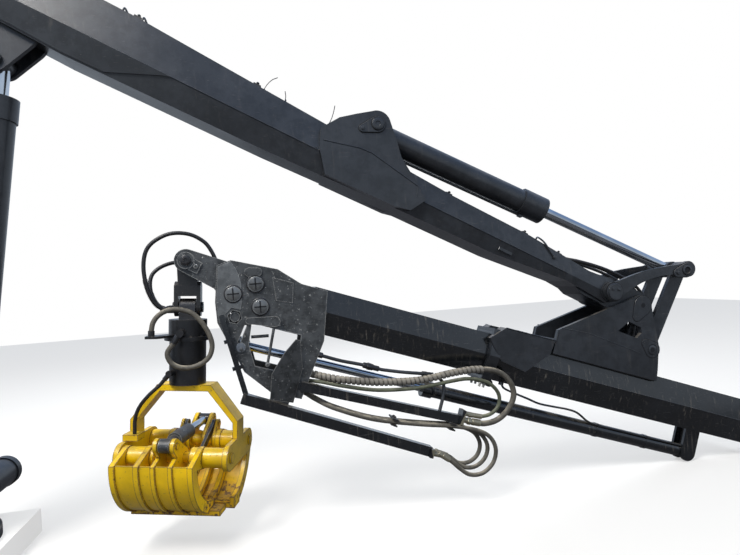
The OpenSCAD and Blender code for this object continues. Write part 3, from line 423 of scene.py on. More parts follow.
def mixed(tree, mask, first, second):
    """Colour output that goes from first to second by a mask; the colours are sockets or rgb tuples."""
    node = add(tree, "ShaderNodeMix", links={"Factor": mask}, data_type="RGBA")
    for label, value in (("A", first), ("B", second)):
        feed(tree, [s for s in node.inputs if s.name == label and s.type == "RGBA"][0], value)
    return [s for s in node.outputs if s.type == "RGBA"][0]


DARK_PATCH = 0.62
GRIME_DARK = 0.3
COAT_ROUGH = 0.10


def finish_material(name, colour, worn, dust_colour, rough, worn_rough, dust, chips, grain, bump, metal=0.0,
                    coat=0.0, edge=0.5, edge_width=0.004, rust=None, grime=0.0):
    """A worn and dusty finish with rubbed edges; rust colours the bare spots and grime darkens patches.
    dust is (on top, in streaks, scale), chips is (flakes, scratches, scale) and grain is (scale, waves)."""
    material = bpy.data.materials.new(name)
    material.use_nodes = True
    tree = material.node_tree
    shader = tree.nodes["Principled BSDF"]
    shade = stretched_noise(tree, 2.6, 4.0)
    base = mixed(tree, ramp(tree, shade, 0.35, 0.68), tuple(c * DARK_PATCH for c in colour), colour)
    blots = ramp(tree, stretched_noise(tree, 17.0, 7.0, 0.68), 0.42, 0.62)
    base = mixed(tree, product(tree, blots, grime), base, tuple(c * GRIME_DARK for c in colour))
    chipped = group_node(tree, CHIPS, *chips)
    rubbed = group_node(tree, EDGES, edge, edge_width)
    bare = math_node(tree, "MAXIMUM", chipped.outputs["Mask"], rubbed.outputs["Mask"], clamp=True)
    bare_colour = worn
    if rust:
        stain = stretched_noise(tree, 70.0, 5.0, 0.7)
        bare_colour = mixed(tree, ramp(tree, stain, 0.42, 0.60), worn, rust)
    base = mixed(tree, bare, base, bare_colour)
    dusty = group_node(tree, DUST, *dust)
    base = mixed(tree, dusty.outputs["Mask"], base, dust_colour)
    tree.links.new(base, shader.inputs["Base Color"])
    uneven = product(tree, shade, 0.22)
    gloss = math_node(tree, "ADD", math_node(tree, "ADD", uneven, rough - 0.11),
                      product(tree, dusty.outputs["Mask"], 0.45))
    gloss = math_node(tree, "ADD", gloss, product(tree, bare, worn_rough - rough), clamp=True)
    tree.links.new(gloss, shader.inputs["Roughness"])
    shader.inputs["Metallic"].default_value = metal
    shader.inputs["Coat Weight"].default_value = coat
    shader.inputs["Coat Roughness"].default_value = COAT_ROUGH
    texture = group_node(tree, GRAIN, *grain)
    height = math_node(tree, "SUBTRACT", texture.outputs["Height"], bare)
    relief = add(tree, "ShaderNodeBump", {"Strength": bump, "Distance": 0.002}, {"Height": height})
    tree.links.new(relief.outputs["Normal"], shader.inputs["Normal"])
    return material


ROAD_DUST = (0.30, 0.27, 0.23)
BARE_STEEL = (0.26, 0.26, 0.27)
RUST = (0.13, 0.06, 0.028)
CRANE_PAINT = finish_material(
    "crane paint", (0.026, 0.030, 0.037), BARE_STEEL, ROAD_DUST, rough=0.34, worn_rough=0.42, coat=0.15,
    dust=(0.30, 0.14, 1.0), chips=(0.20, 0.12, 1.0), grain=(420.0, 0.8), bump=0.12, edge=0.30, rust=RUST,
    grime=0.5)


def paint(material, *names):
    """Gives CAD nodes their material."""
    for label in names:
        piece = nodes[label]
        piece.data.materials.clear()
        piece.data.materials.append(material)


def paint_where(label, material, place, wanted):
    """Gives one more material to the faces of a node whose centres, in a millimetre frame, are wanted."""
    mesh = nodes[label].data
    mesh.materials.append(material)
    inverse = place.inverted()
    for face in mesh.polygons:
        if wanted(inverse @ face.center):
            face.material_index = len(mesh.materials) - 1


paint(CRANE_PAINT, "base_flange", "rack_cylinders", "pillar", "lift_barrel", "main_boom", "hump_bracket",
      "stick_barrel", "rocker_arms", "coupler_links", "stick_bracket", "mouth_collar")

# Stick paint. The six-sided stick and its extension are gloss black, so they mirror the sky, and dusty water
# has dried on their sides in pale upright streaks.
STICK_PAINT = finish_material(
    "stick paint", (0.010, 0.012, 0.015), BARE_STEEL, ROAD_DUST, rough=0.18, worn_rough=0.40, coat=0.5,
    dust=(0.35, 0.50, 1.3), chips=(0.15, 0.12, 1.0), grain=(380.0, 1.0), bump=0.07, edge=0.3, grime=0.4)
paint(STICK_PAINT, "stick_box", "telescope_barrel", "extension_beam", "hose_tubes", "hose_guide")

# Worn steel. The tip's plates, arm, guard and latch and the grapple's cylinder and links have lost their
# paint and are grey, scratched and oily. The tip's plugs are scoured brighter, and its port block is darker.
WORN_STEEL = finish_material(
    "worn steel", (0.105, 0.112, 0.118), (0.34, 0.34, 0.33), (0.10, 0.085, 0.07), rough=0.42,
    worn_rough=0.30, metal=0.45, dust=(0.5, 0.45, 2.0), chips=(0.62, 0.35, 1.6), grain=(260.0, 0.4),
    bump=0.35, edge=0.9, edge_width=0.006, grime=0.8)
PIN_STEEL = finish_material(
    "pin steel", (0.09, 0.092, 0.095), (0.35, 0.34, 0.33), (0.12, 0.10, 0.08), rough=0.38, worn_rough=0.30,
    metal=0.7, dust=(0.3, 0.2, 2.0), chips=(0.45, 0.3, 2.0), grain=(300.0, 0.4), bump=0.2, edge=0.7,
    edge_width=0.002)
paint(WORN_STEEL, "tip_plates", "tip_arm", "tip_guard", "tip_latch", "grapple_barrel", "grapple_links")
PLATE_STEEL = finish_material(
    "scoured steel", (0.20, 0.21, 0.215), (0.40, 0.40, 0.39), (0.07, 0.06, 0.05), rough=0.36,
    worn_rough=0.28, metal=0.55, dust=(0.4, 0.3, 2.0), chips=(0.50, 0.35, 1.6), grain=(260.0, 0.4),
    bump=0.25, edge=0.9, edge_width=0.004, grime=0.5)
paint(PLATE_STEEL, "tip_plugs")
paint(PIN_STEEL, "port_block")

# Chromed rods. The rods of the lift, stick, telescope and grapple cylinders are ground and hard chromed,
# with a thin film of oil and dust.
ROD_CHROME = finish_material(
    "rod chrome", (0.66, 0.70, 0.74), (0.50, 0.50, 0.50), (0.30, 0.27, 0.24), rough=0.14, worn_rough=0.3,
    metal=1.0, dust=(0.12, 0.1, 3.0), chips=(0.0, 0.15, 2.0), grain=(200.0, 0.2), bump=0.01, edge=0.0)
paint(ROD_CHROME, "stick_rod", "lift_rod", "telescope_rod", "grapple_rod")

# Rotator and hanging link. Both are castings that hang under the tip, and a thick coat of black grease and
# sawdust covers them and the flange that carries the grapple.
GREASY_IRON = finish_material(
    "greasy iron", (0.020, 0.020, 0.022), (0.10, 0.09, 0.08), (0.10, 0.08, 0.06), rough=0.36,
    worn_rough=0.5, metal=0.2, coat=0.2, dust=(0.35, 0.3, 3.0), chips=(0.5, 0.1, 2.5), grain=(120.0, 1.5),
    bump=0.5, edge=0.6)
paint(GREASY_IRON, "hanging_link", "rotator_body", "rotator_foot")

# Grapple paint. The frame and tines are welded plate in bright yellow, rubbed to brown steel by bark and
# logs, most of all along the tines' lowest 75 mm.
GRAPPLE_YELLOW = finish_material(
    "grapple yellow", (1.0, 0.66, 0.004), (0.13, 0.08, 0.045), (0.24, 0.17, 0.07), rough=0.34,
    worn_rough=0.6, coat=0.15, dust=(0.45, 0.25, 2.5), chips=(0.60, 0.25, 1.3), grain=(240.0, 0.6),
    bump=0.3, edge=1.0, edge_width=0.008, rust=RUST, grime=0.06)
paint(GRAPPLE_YELLOW, "grapple_frame", "near_tine", "far_tine")
WORN_LIP = finish_material(
    "worn lip", (1.0, 0.62, 0.01), (0.16, 0.10, 0.06), (0.24, 0.17, 0.09), rough=0.45, worn_rough=0.6,
    dust=(0.6, 0.4, 2.5), chips=(0.92, 0.4, 0.8), grain=(200.0, 0.8), bump=0.4, edge=1.7, edge_width=0.012,
    rust=RUST, grime=0.2)
LIP_HEIGHT = 0.075
for label in ("near_tine", "far_tine"):
    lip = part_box(label)[0][2] + LIP_HEIGHT
    paint_where(label, WORN_LIP, ROW, lambda p: p.z < lip)

# Rubber. The hoses are black rubber under fine grey-brown dust, thicker on the loops that hang low; one is
# greenish, and the spiral guard is pale plastic. The pipes on the boom are black too.
HOSE_DUSTY = finish_material(
    "dusty hose", (0.135, 0.125, 0.105), (0.04, 0.04, 0.04), (0.36, 0.33, 0.27), rough=0.62,
    worn_rough=0.5, dust=(0.8, 0.5, 4.0), chips=(0.45, 0.1, 2.0), grain=(500.0, 0.3), bump=0.3, edge=0.0,
    grime=0.6)
HOSE_BLACK = finish_material(
    "black hose", (0.018, 0.018, 0.020), (0.07, 0.07, 0.07), (0.16, 0.14, 0.12), rough=0.45,
    worn_rough=0.5, dust=(0.5, 0.2, 4.0), chips=(0.1, 0.1, 2.0), grain=(500.0, 0.3), bump=0.2, edge=0.0)
HOSE_GREEN = finish_material(
    "green hose", (0.13, 0.145, 0.095), (0.05, 0.05, 0.05), (0.33, 0.32, 0.25), rough=0.6, worn_rough=0.5,
    dust=(0.6, 0.5, 4.0), chips=(0.35, 0.1, 2.0), grain=(500.0, 0.3), bump=0.3, edge=0.0, grime=0.5)
GUARD_PLASTIC = finish_material(
    "guard plastic", (0.24, 0.225, 0.20), (0.10, 0.10, 0.10), (0.38, 0.35, 0.30), rough=0.55,
    worn_rough=0.5, dust=(0.7, 0.4, 4.0), chips=(0.3, 0.2, 2.0), grain=(400.0, 0.3), bump=0.2, edge=0.4)
for label, piece in hose_pieces.items():
    finish = {"inner_loop": HOSE_GREEN, "grapple_loop": HOSE_BLACK}.get(label, HOSE_DUSTY)
    piece.data.materials.append(finish)
guard.data.materials.append(GUARD_PLASTIC)
paint(HOSE_BLACK, "boom_pipes")

# Plate edges. Every solid of the crane is shaded round along its cylinders and stays hard where faces meet
# at more than 35 degrees.
for piece in nodes.values():
    shade_round(piece.data, 35.0)

# Rod eyes and plated parts. Three of the chromed rods end in painted or greasy forged eyes, the fittings of
# the hoses are plated brass-yellow, and the studs of the stick's collar are zinc plated.
STICK_EYE = 0.100
LIFT_EYE = 0.102
GRAPPLE_EYE = 62
BRASS = finish_material(
    "plated fittings", (0.36, 0.33, 0.24), (0.20, 0.18, 0.14), (0.30, 0.27, 0.22), rough=0.38,
    worn_rough=0.4, metal=0.7, dust=(0.5, 0.4, 4.0), chips=(0.3, 0.2, 2.0), grain=(300.0, 0.3), bump=0.2,
    edge=0.5, edge_width=0.002)
rod_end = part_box("stick_rod")[1][0]
paint_where("stick_rod", CRANE_PAINT, ROW, lambda p: p.x > rod_end - STICK_EYE)
lift_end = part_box("lift_rod")[1][2]
paint_where("lift_rod", CRANE_PAINT, ROW, lambda p: p.z > lift_end - LIFT_EYE)
eye_reach = max(abs((GRAB.inverted() @ v.co).y) for v in nodes["grapple_rod"].data.vertices)
paint_where("grapple_rod", GREASY_IRON, GRAB, lambda p: abs(p.y) > eye_reach - GRAPPLE_EYE)
ZINC = finish_material(
    "zinc plated bolts", (0.50, 0.50, 0.48), (0.30, 0.28, 0.25), (0.30, 0.27, 0.22), rough=0.38,
    worn_rough=0.5, metal=0.25, dust=(0.4, 0.3, 4.0), chips=(0.3, 0.2, 2.0), grain=(300.0, 0.3), bump=0.1,
    edge=0.0)
paint_where("mouth_collar", ZINC, STICK, lambda p: p.z < -648 and -850 < p.x < -798 and abs(p.y) < 64)
paint_where("hose_tubes", BRASS, STICK, lambda p: p.x > (-1050 if p.z < -980 else -932))

# Boom fittings. A lug is welded on the side, a strap runs from the top down the near side, bolts clamp the
# pipe blocks, two hoops stand over the pipes, and weld beads follow the boom's bend and its hump.
NEAR = (0.0, -1.0, 0.0)
boom_fittings = bmesh.new()


def add_turned(shape, place, base, axis, profile, sides=28, turn=0.3, hollow=False):
    """A turned piece from a base point along an axis; profile lists (height, radius) in millimetres."""
    axis = Vector(axis).normalized()
    u = axis.orthogonal().normalized()
    v = axis.cross(u)
    rings = []
    for height, radius in profile:
        ring = []
        for corner in range(sides):
            angle = turn + 2 * math.pi * corner / sides
            point = Vector(base) + height * axis + radius * (math.cos(angle) * u + math.sin(angle) * v)
            ring.append(shape.verts.new(place @ point))
        rings.append(ring)
    close_rings(shape, rings, hollow)


def add_bolt(shape, place, base, axis, size, turn=0.3):
    """A hexagon bolt head with a chamfered top, on its washer."""
    add_turned(shape, place, base, axis,
               [(0, 1.3 * size), (0.16 * size, 1.3 * size), (0.2 * size, 1.2 * size)])
    add_turned(shape, place, base, axis, [(0.2 * size, size), (0.78 * size, size), (0.9 * size, 0.84 * size)],
               6, turn)


def add_plate(shape, place, outline, start, end, chamfer=1.5):
    """A plate between two lateral places, with a chamfer on the side that it ends on."""
    middle = sum((Vector(corner) for corner in outline), Vector((0.0, 0.0))) / len(outline)
    way = 1.0 if end > start else -1.0
    rings = []
    for lateral, inset in ((start, 0.0), (end - way * chamfer, 0.0), (end, chamfer)):
        ring = []
        for corner in outline:
            moved = Vector(corner) + (middle - Vector(corner)).normalized() * inset
            ring.append(shape.verts.new(place @ Vector((moved.x, lateral, moved.y))))
        rings.append(ring)
    close_rings(shape, rings)


def eye_outline(p, q, rp, rq, steps=14):
    """Outline of a plate with two round ends."""
    p, q = Vector(p), Vector(q)
    turn = math.atan2(q.y - p.y, q.x - p.x)
    spread = math.acos((rp - rq) / (q - p).length)
    outline = []
    for centre, radius, first, last in ((q, rq, turn - spread, turn + spread),
                                        (p, rp, turn + spread, turn + 2 * math.pi - spread)):
        for step in range(steps + 1):
            angle = first + (last - first) * step / steps
            outline.append((centre.x + radius * math.cos(angle), centre.y + radius * math.sin(angle)))
    return outline


def add_weld(shape, place, points, radius=4.0, step=7.0):
    """A rippled weld bead along a chain of points in millimetres."""
    path = []
    for a, b in zip(points, points[1:]):
        a, b = Vector(a), Vector(b)
        count = max(1, int((b - a).length / step))
        path += [a.lerp(b, i / count) for i in range(count)]
    path.append(Vector(points[-1]))
    wander = random.Random(len(path))
    radii = [0.001 * radius * wander.uniform(0.78, 1.12) for _ in path]
    add_tube(shape, to_world(place, path), radii, 8)


BOOM_HALF = 130
BEND_LINE = -25


def boom_side(z):
    """Half width of the boom at a height over its axis; it narrows above and below its bend line."""
    above = z - BEND_LINE
    return BOOM_HALF - 38 * above / 215 if above > 0 else BOOM_HALF + 46 * above / 165


add_plate(boom_fittings, BOOM, [(-946, -60), (-946, -76), (-862, -76), (-862, -60)], -114, -127)
for side in (-1, 1):
    add_weld(boom_fittings, BOOM, [(x, side * BOOM_HALF, BEND_LINE) for x in (-3700, -520)], 3.2)
    add_weld(boom_fittings, BOOM, [(x, side * 145, z) for x, z in (
        (-2040, 30), (-1858, 77), (-1791, 82), (-1499, 34), (-1483, -22))], 3.5)
    add_weld(boom_fittings, BOOM, [(x, side * (boom_side(z) + 1), z) for x, z in (
        (-2060, -18), (-2040, -26), (-1963, -126))], 4.5)
for x, z in ((-3740, 213), (-3100, 208), (-2460, 175), (-1300, 115), (-800, 109), (-560, 91)):
    for y in (-30, 30):
        add_bolt(boom_fittings, BOOM, (x, y, z), (0, 0, 1), 7)
strap = [(-700, 10, 112), (-716, -30, 112), (-722, -80, 96), (-706, -116, 76), (-664, -124, 48),
         (-622, -127, 22)]
add_tube(boom_fittings, smooth_path(to_world(BOOM, strap), 5), 0.005, 8)
add_bolt(boom_fittings, BOOM, (-622, -126, 22), NEAR, 8)
for x in (-3170, -3073):
    hoop = [(x, y, z) for y, z in ((-42, 176), (-45, 196), (-36, 208), (0, 210), (36, 208), (45, 196),
                                   (42, 176))]
    add_tube(boom_fittings, smooth_path(to_world(BOOM, hoop), 4), 0.005, 8)
make_piece("boom_fittings", boom_fittings, "boom", CRANE_PAINT)

# Cable ties. Black nylon ties bind the pipes on the boom's top, before the hump, and their long cut ends
# stand up.
ties = bmesh.new()
for x, tail in ((-2420, [(0, -34, 10), (4, -36, 46), (16, -30, 84), (36, -26, 110)]),
                (-2300, [(0, -34, 10), (-6, -38, 34), (-20, -40, 58)]),
                (-2050, [(0, -34, 14), (2, -38, 60), (-4, -40, 104), (-10, -44, 128)])):
    top = 142 if x < -2200 else 124
    add_tube(ties, smooth_path(to_world(BOOM, [(x + a, b, top + c) for a, b, c in tail]), 5), 0.0022, 6)
    band = [(x, 38 * math.sin(0.7 * a), top + 14 + 14 * math.cos(0.7 * a)) for a in range(10)]
    add_tube(ties, smooth_path(to_world(BOOM, band), 3), 0.003, 6)
make_piece("cable_ties", ties, "boom", HOSE_BLACK)

# Hump keepers. A keeper plate with one bolt locks the stick cylinder's pin on each side. A dark line of
# painted shade marks the gap round this and every other keeper, and discs of painted shade fill the lifting
# holes of the knuckle's pins.
# A near-black matt material for painted shade in gaps, holes and slots.
PAINTED_SHADE = finish_material(
    "painted shade", (0.006, 0.006, 0.007), (0.02, 0.02, 0.02), (0.03, 0.027, 0.024), rough=0.7,
    worn_rough=0.7, dust=(0.2, 0.1, 3.0), chips=(0.1, 0.0, 2.0), grain=(300.0, 0.3), bump=0.1, edge=0.0)
# How far, in millimetres, the line of painted shade reaches out round each keeper.
SHADE_LINE = 4
# One mesh of painted shade on each body.
shade_marks = {"boom": bmesh.new(), "rocker": bmesh.new(), "stick": bmesh.new(), "extension": bmesh.new()}


def add_keeper(shape, body, place, small, large, side, base, thick, chamfer=1.5):
    """A plate with two round ends, each (x, z, radius), that stands on a base with a line of painted shade
    round its edge.
    """
    (px, pz, rp), (qx, qz, rq) = small, large
    add_plate(shape, place, eye_outline((px, pz), (qx, qz), rp, rq), side * base, side * (base + thick),
              chamfer)
    add_plate(shade_marks[body], place, eye_outline((px, pz), (qx, qz), rp + SHADE_LINE, rq + SHADE_LINE),
              side * (base - 0.5), side * (base + 0.6), 0.2)


hump_keepers = bmesh.new()
for side in (-1, 1):
    way = (0, side, 0)
    add_keeper(hump_keepers, "boom", BOOM, (-1884, 176, 20), (-1824, 230, 42), side, 145, 8)
    add_bolt(hump_keepers, BOOM, (-1886, side * 153, 174), way, 9)
    add_turned(hump_keepers, BOOM, (-1824, side * 157, 230), way,
               [(0, 31), (3, 31), (5, 27), (5, 14), (1, 12)])
    add_turned(shade_marks["boom"], BOOM, (-1824, side * 153, 230), way, [(0, 35), (0.8, 35)], 40)
make_piece("hump_keepers", hump_keepers, "boom", CRANE_PAINT)

# Knuckle keepers. Steel caps and keeper plates hold the linkage's pins on both sides of the boom, the rocker
# arms and the stick's bracket, and a raised rim stands round the rocker pin's lifting hole. Rings of painted
# shade outline the caps and discs of painted shade fill the holes. A weld bead runs along the bracket, and
# each tip plate has two small holes, drawn as dark discs of painted shade.
boom_caps = bmesh.new()
rocker_caps = bmesh.new()
bracket_caps = bmesh.new()
for side in (-1, 1):
    way = (0, side, 0)
    for x, z in ((-246, -4), (-212, 8)):
        add_bolt(boom_caps, BOOM, (x, side * 175, z), way, 7)
    add_turned(boom_caps, BOOM, (-222, side * 161, -11), way, [(0, 50), (5, 50), (7, 47)], 40)
    add_turned(shade_marks["boom"], BOOM, (-222, side * 160.6, -11), way, [(0, 55), (1, 55)], 40)
    rim = [(0, 29), (5, 29), (7, 26), (7, 19), (0.5, 17)]
    add_turned(rocker_caps, STICK, (204, side * 166, 268), way, rim)
    add_turned(shade_marks["rocker"], STICK, (204, side * 166, 268), way, [(0, 33), (0.9, 33)], 40)
    add_turned(shade_marks["rocker"], STICK, (204, side * 166.9, 268), way, [(0, 17), (1, 17)], 6)
    add_keeper(rocker_caps, "rocker", STICK, (149, 236, 24), (204, 268, 40), side, 160, 6.5)
    add_bolt(rocker_caps, STICK, (149, side * 166, 236), way, 10)
    add_keeper(bracket_caps, "stick", STICK, (-21, -72, 26), (0, 0, 56), side, 130, 2.6, 1.0)
    add_turned(bracket_caps, STICK, (-21, side * 132, -72), way, [(0, 9), (0.9, 9)], 6)
    add_turned(bracket_caps, STICK, (0, side * 132.1, 0), way, [(0, 24), (0.9, 23)])
    add_turned(shade_marks["stick"], STICK, (0, side * 132.3, 0), way, [(0, 15), (0.9, 15)], 6)
    add_keeper(bracket_caps, "stick", STICK, (70, -206, 22), (126, -232, 46), side, 130, 2.0, 0.8)
    add_turned(bracket_caps, STICK, (70, side * 131, -208), way, [(0, 9), (1.9, 8)], 6)
    add_turned(bracket_caps, STICK, (126, side * 132, -232), way, [(0, 27), (1.0, 25)])
    add_turned(shade_marks["stick"], STICK, (126, side * 132.3, -232), way, [(0, 16), (0.9, 16)], 6)
    add_weld(bracket_caps, STICK, [(x, side * 130, z) for x, z in ((-470, -252), (-292, -240), (51, -270))],
             2.0)
    for x, z, size in ((-2264, -588, 9), (-2251, -422, 8)):
        add_turned(shade_marks["extension"], STICK, (x, side * 120, z), way, [(0, size), (0.6, size)])
make_piece("boom_caps", boom_caps, "boom", CRANE_PAINT)
make_piece("rocker_caps", rocker_caps, "rocker", CRANE_PAINT)
make_piece("bracket_caps", bracket_caps, "stick", CRANE_PAINT)
# The rings, lines and discs of painted shade become one dark piece on each body.
for body, shape in shade_marks.items():
    make_piece(body + "_painted_shade", shape, body, PAINTED_SHADE)

# Knuckle hoses. Three hoses leave the boom's pipes, arch over the knuckle between the links and go down into
# the stick's bracket.
def make_bending_hose(name, path, radius):
    """A hose along a path from one body to another, left in place in the world's frame."""
    shape = bmesh.new()
    add_tube(shape, path, radius, 14)
    hose = make_object(name, shape, HOSE_BLACK)
    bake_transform(hose)
    return hose


for index, y in enumerate((-26, 0, 26)):
    out = 1.9 * y
    high = 0 if y else 6
    route = to_world(BOOM, [(-560, y, 72), (-500, y, 76), (-430, 0.5 * (y + out), 92),
                            (-305, out, 112 + high), (-180, out, 122 + high), (-60, out, 116 + high),
                            (30, out, 84 + high)])
    route += to_world(STICK, [(112, out, 10), (140, out, -90), (146, out, -200), (146, out, -306)])
    make_bending_hose("knuckle_hose_" + "abc"[index], smooth_path(route, 6), 0.009)

# Stick seams. Weld beads run along the widest line of the outer stick, and where the mouth collar and the
# knuckle bracket are welded on.
stick_welds = bmesh.new()
for side in (-1, 1):
    add_weld(stick_welds, STICK, [(-640, side * 118, -499), (996, side * 118, -499)], 2.6)
    add_weld(stick_welds, STICK, [(-486, side * 131, -268), (-486, side * 131, -340)], 3.5)
    add_weld(stick_welds, STICK, [(x, side * 135, z) for x, z in ((-795, -334), (-492, -329))], 3.0)
    add_weld(stick_welds, STICK, [(-480, side * 112, -404), (196, side * 112, -404)], 4.0)
make_piece("stick_seams", stick_welds, "stick", STICK_PAINT)

# Telescope line. A thin steel pipe comes out of the collar and runs down to the telescope cylinder's barrel,
# where two clamp bands and a banjo end hold it.
stick_line = bmesh.new()
line_run = [(-708, -60, -640), (-690, -68, -658), (-642, -78, -668), (-547, -80, -681), (-468, -80, -693),
            (-369, -80, -690), (-293, -80, -686), (-228, -74, -690), (-171, -56, -708), (-117, -38, -728),
            (-50, -33, -738), (150, -33, -738), (400, -33, -738), (520, -33, -738), (556, -30, -741),
            (572, -26, -752)]
add_tube(stick_line, smooth_path(to_world(STICK, line_run), 4), 0.006, 10)
add_turned(stick_line, STICK, (574, -24, -753), (0, -1, 1), [(-8, 13), (12, 13), (14, 11)], 6)
add_turned(stick_line, STICK, (-710, -58, -628), (0, 0, -1), [(0, 14), (16, 14), (18, 12)], 6)
for x in (-40, 300):
    add_turned(stick_line, STICK, (x, 0, -770), (1, 0, 0),
               [(0, 38.2), (0, 39.5), (1, 41), (23, 41), (24, 39.5), (24, 38.2)], 32, hollow=True)
    add_turned(stick_line, STICK, (x + 1, -33, -738), (1, 0, 0), [(0, 9.5), (22, 9.5)], 12)
make_piece("stick_line", stick_line, "stick", STICK_PAINT)

# Tip pipe and hose clamps. A steel pipe with a thick fitting runs from the tip's plate into the upper square
# tube, and two bolted clamps of plate hold the three low hoses together.
tip_pipe = bmesh.new()
pipe_run = [(-1747, -110, -716), (-1700, -110, -718), (-1623, -110, -719), (-1511, -110, -713),
            (-1423, -110, -714), (-1390, -110, -712), (-1290, -110, -700), (-1167, -110, -681),
            (-1105, -112, -681), (-1062, -118, -710), (-1050, -124, -770), (-1050, -128, -850)]
add_tube(tip_pipe, smooth_path(to_world(STICK, pipe_run), 5), 0.009, 14)
make_piece("tip_pipe", tip_pipe, "extension", PIN_STEEL)
clamps = bmesh.new()
pipe_way = (88, 0, -1)
add_turned(clamps, STICK, (-1511, -110, -713), pipe_way,
           [(0, 13), (3, 15), (30, 15), (30.1, 17), (52, 17), (52.1, 14), (85, 14), (88, 11)], 24)
add_turned(clamps, STICK, (-1489, -110, -713.2), pipe_way, [(0, 19), (1, 20), (17, 20), (18, 19)], 6)
add_turned(clamps, STICK, (-1747, -110, -716), (1, 0, 0), [(0, 16), (18, 16), (20, 14)], 6)
add_turned(clamps, STICK, (-1190, -110, -684.5), (88, 0, 12),
           [(0, 13), (2, 14), (22, 14), (22.1, 12), (60, 12), (62, 10.5)], 20)
for x, z, tilt in ((-980, -906, -0.07), (-1290, -948, -0.14)):
    for level in (-15, 15):
        corners = [(x - 17, z + level - 4), (x + 17, z + level - 4 + 34 * tilt),
                   (x + 17, z + level + 4 + 34 * tilt), (x - 17, z + level + 4)]
        add_plate(clamps, STICK, corners, -102, -188, 2)
    for y in (-157, -133):
        add_turned(clamps, STICK, (x, y, z - 24), (0, 0, 1), [(0, 5), (46, 5)], 12)
        add_bolt(clamps, STICK, (x, y, z + 19), (0, 0, 1), 7)
make_piece("hose_clamps", clamps, "extension", GREASY_IRON)

# Hose fittings. Each of the five hoses under the stick starts in a crimped and ribbed sleeve with a hexagon
# nut, and ends at the tip in a plain ferrule. All are plated steel.
fittings = bmesh.new()
for label, (place, body, radius, points) in HOSE_ROUTES.items():
    if body != "extension":
        continue
    inverse = place.inverted()
    path = [inverse @ point for point in hose_paths[label]]
    ahead_way = path[1] - path[0]
    sleeve = [(0, radius + 1.2), (2, radius + 3.2)]
    for rib in range(5):
        sleeve += [(6 + 8 * rib, radius + 3.2), (8 + 8 * rib, radius + 2.2), (10 + 8 * rib, radius + 3.2)]
    sleeve += [(46, radius + 3.0), (48, radius + 1.0)]
    add_turned(fittings, place, path[0], ahead_way, sleeve)
    add_turned(fittings, place, path[0] - 26 * ahead_way.normalized(), ahead_way,
               [(0, radius + 3.6), (1, radius + 4.6), (17, radius + 4.6), (18, radius + 3.6)], 6)
    back_way = path[-2] - path[-1]
    add_turned(fittings, place, path[-1], back_way, [(0, radius + 3), (16, radius + 3), (17, radius + 1.5),
                                                     (40, radius + 1.5), (42, radius + 0.4)])
make_piece("hose_fittings", fittings, "extension", BRASS)

# Tip plates' fastenings. Cover plates, cross-slotted plugs in raised rings, a ring on the tip pin, domed
# rivets, doublers and weld beads sit on both plates, and a short bar crosses the window.
tip_bolts = bmesh.new()
tip_rings = bmesh.new()
tip_slots = bmesh.new()
tip_covers = bmesh.new()
TIP = STICK @ Matrix.Translation(STICK.inverted() @ tip_pin)
for side in (-1, 1):
    way = (0, side, 0)
    add_plate(tip_covers, TIP, [(153, 10), (203, 52), (236, 26), (262, -6), (282, -40), (310, -130),
                                (314, -164), (268, -166), (248, -206), (262, -238), (232, -254), (192, -160)],
              side * 119.5, side * 122.5, 1.2)
    for x, z in ((258, -99), (348, -23), (401, -126)):
        add_turned(tip_rings, TIP, (x, side * 120, z), way,
                   [(0, 46), (5, 45), (7, 42), (7, 37.5), (0, 37.2)], 40)
        add_turned(tip_covers, TIP, (x, side * 128, z), way, [(0, 34), (3, 34), (4.5, 32)], 40)
        # The plugs' cross slots are drawn as dark bars of painted shade.
        for turn in (0.35, 0.35 + math.pi / 2):
            c, s = math.cos(turn), math.sin(turn)
            bar = [(x + c * a - s * b, z + s * a + c * b)
                   for a, b in ((-29, -3.4), (29, -3.4), (29, 3.4), (-29, 3.4))]
            add_plate(tip_slots, TIP, bar, side * 131, side * 133.4, 0.6)
    add_turned(tip_rings, TIP, (0, side * 114, 0), way, [(0, 27), (9, 27), (11, 24), (11, 12), (6, 11)], 6)
    add_bolt(tip_bolts, TIP, (52, side * 108, -15), way, 9)
    for x, z in ((-2124, -779), (-1783, -905)):
        add_turned(tip_bolts, STICK, (x, side * 120, z), way, [(0, 15), (4, 15), (9, 9), (10, 4)])
    add_plate(tip_bolts, STICK, eye_outline((-2190, -404), (-2150, -392), 24, 22), side * 120, side * 127, 2)
    add_plate(tip_bolts, STICK, [(-2075, -398), (-1966, -396), (-1942, -497), (-2026, -507)], side * 120,
              side * 123, 1.5)
    add_weld(tip_bolts, TIP, [(381, side * 120.5, -212), (633, side * 120.5, -212)], 3.0)
    add_weld(tip_bolts, TIP, [(583, side * 120.5, -524), (663, side * 120.5, -523)], 3.5)
add_tube(tip_bolts, to_world(STICK, [(-2096, -100, -711), (-2014, -100, -684)]), 0.008, 14)
add_bolt(tip_bolts, TIP, (509, -145, -391), NEAR, 8)
make_piece("tip_bolts", tip_bolts, "extension", WORN_STEEL)
make_piece("tip_covers", tip_covers, "extension", PLATE_STEEL)
make_piece("tip_rings", tip_rings, "extension", GREASY_IRON)
# The slots' dark bars are painted shade.
make_piece("tip_slots", tip_slots, "extension", PAINTED_SHADE)

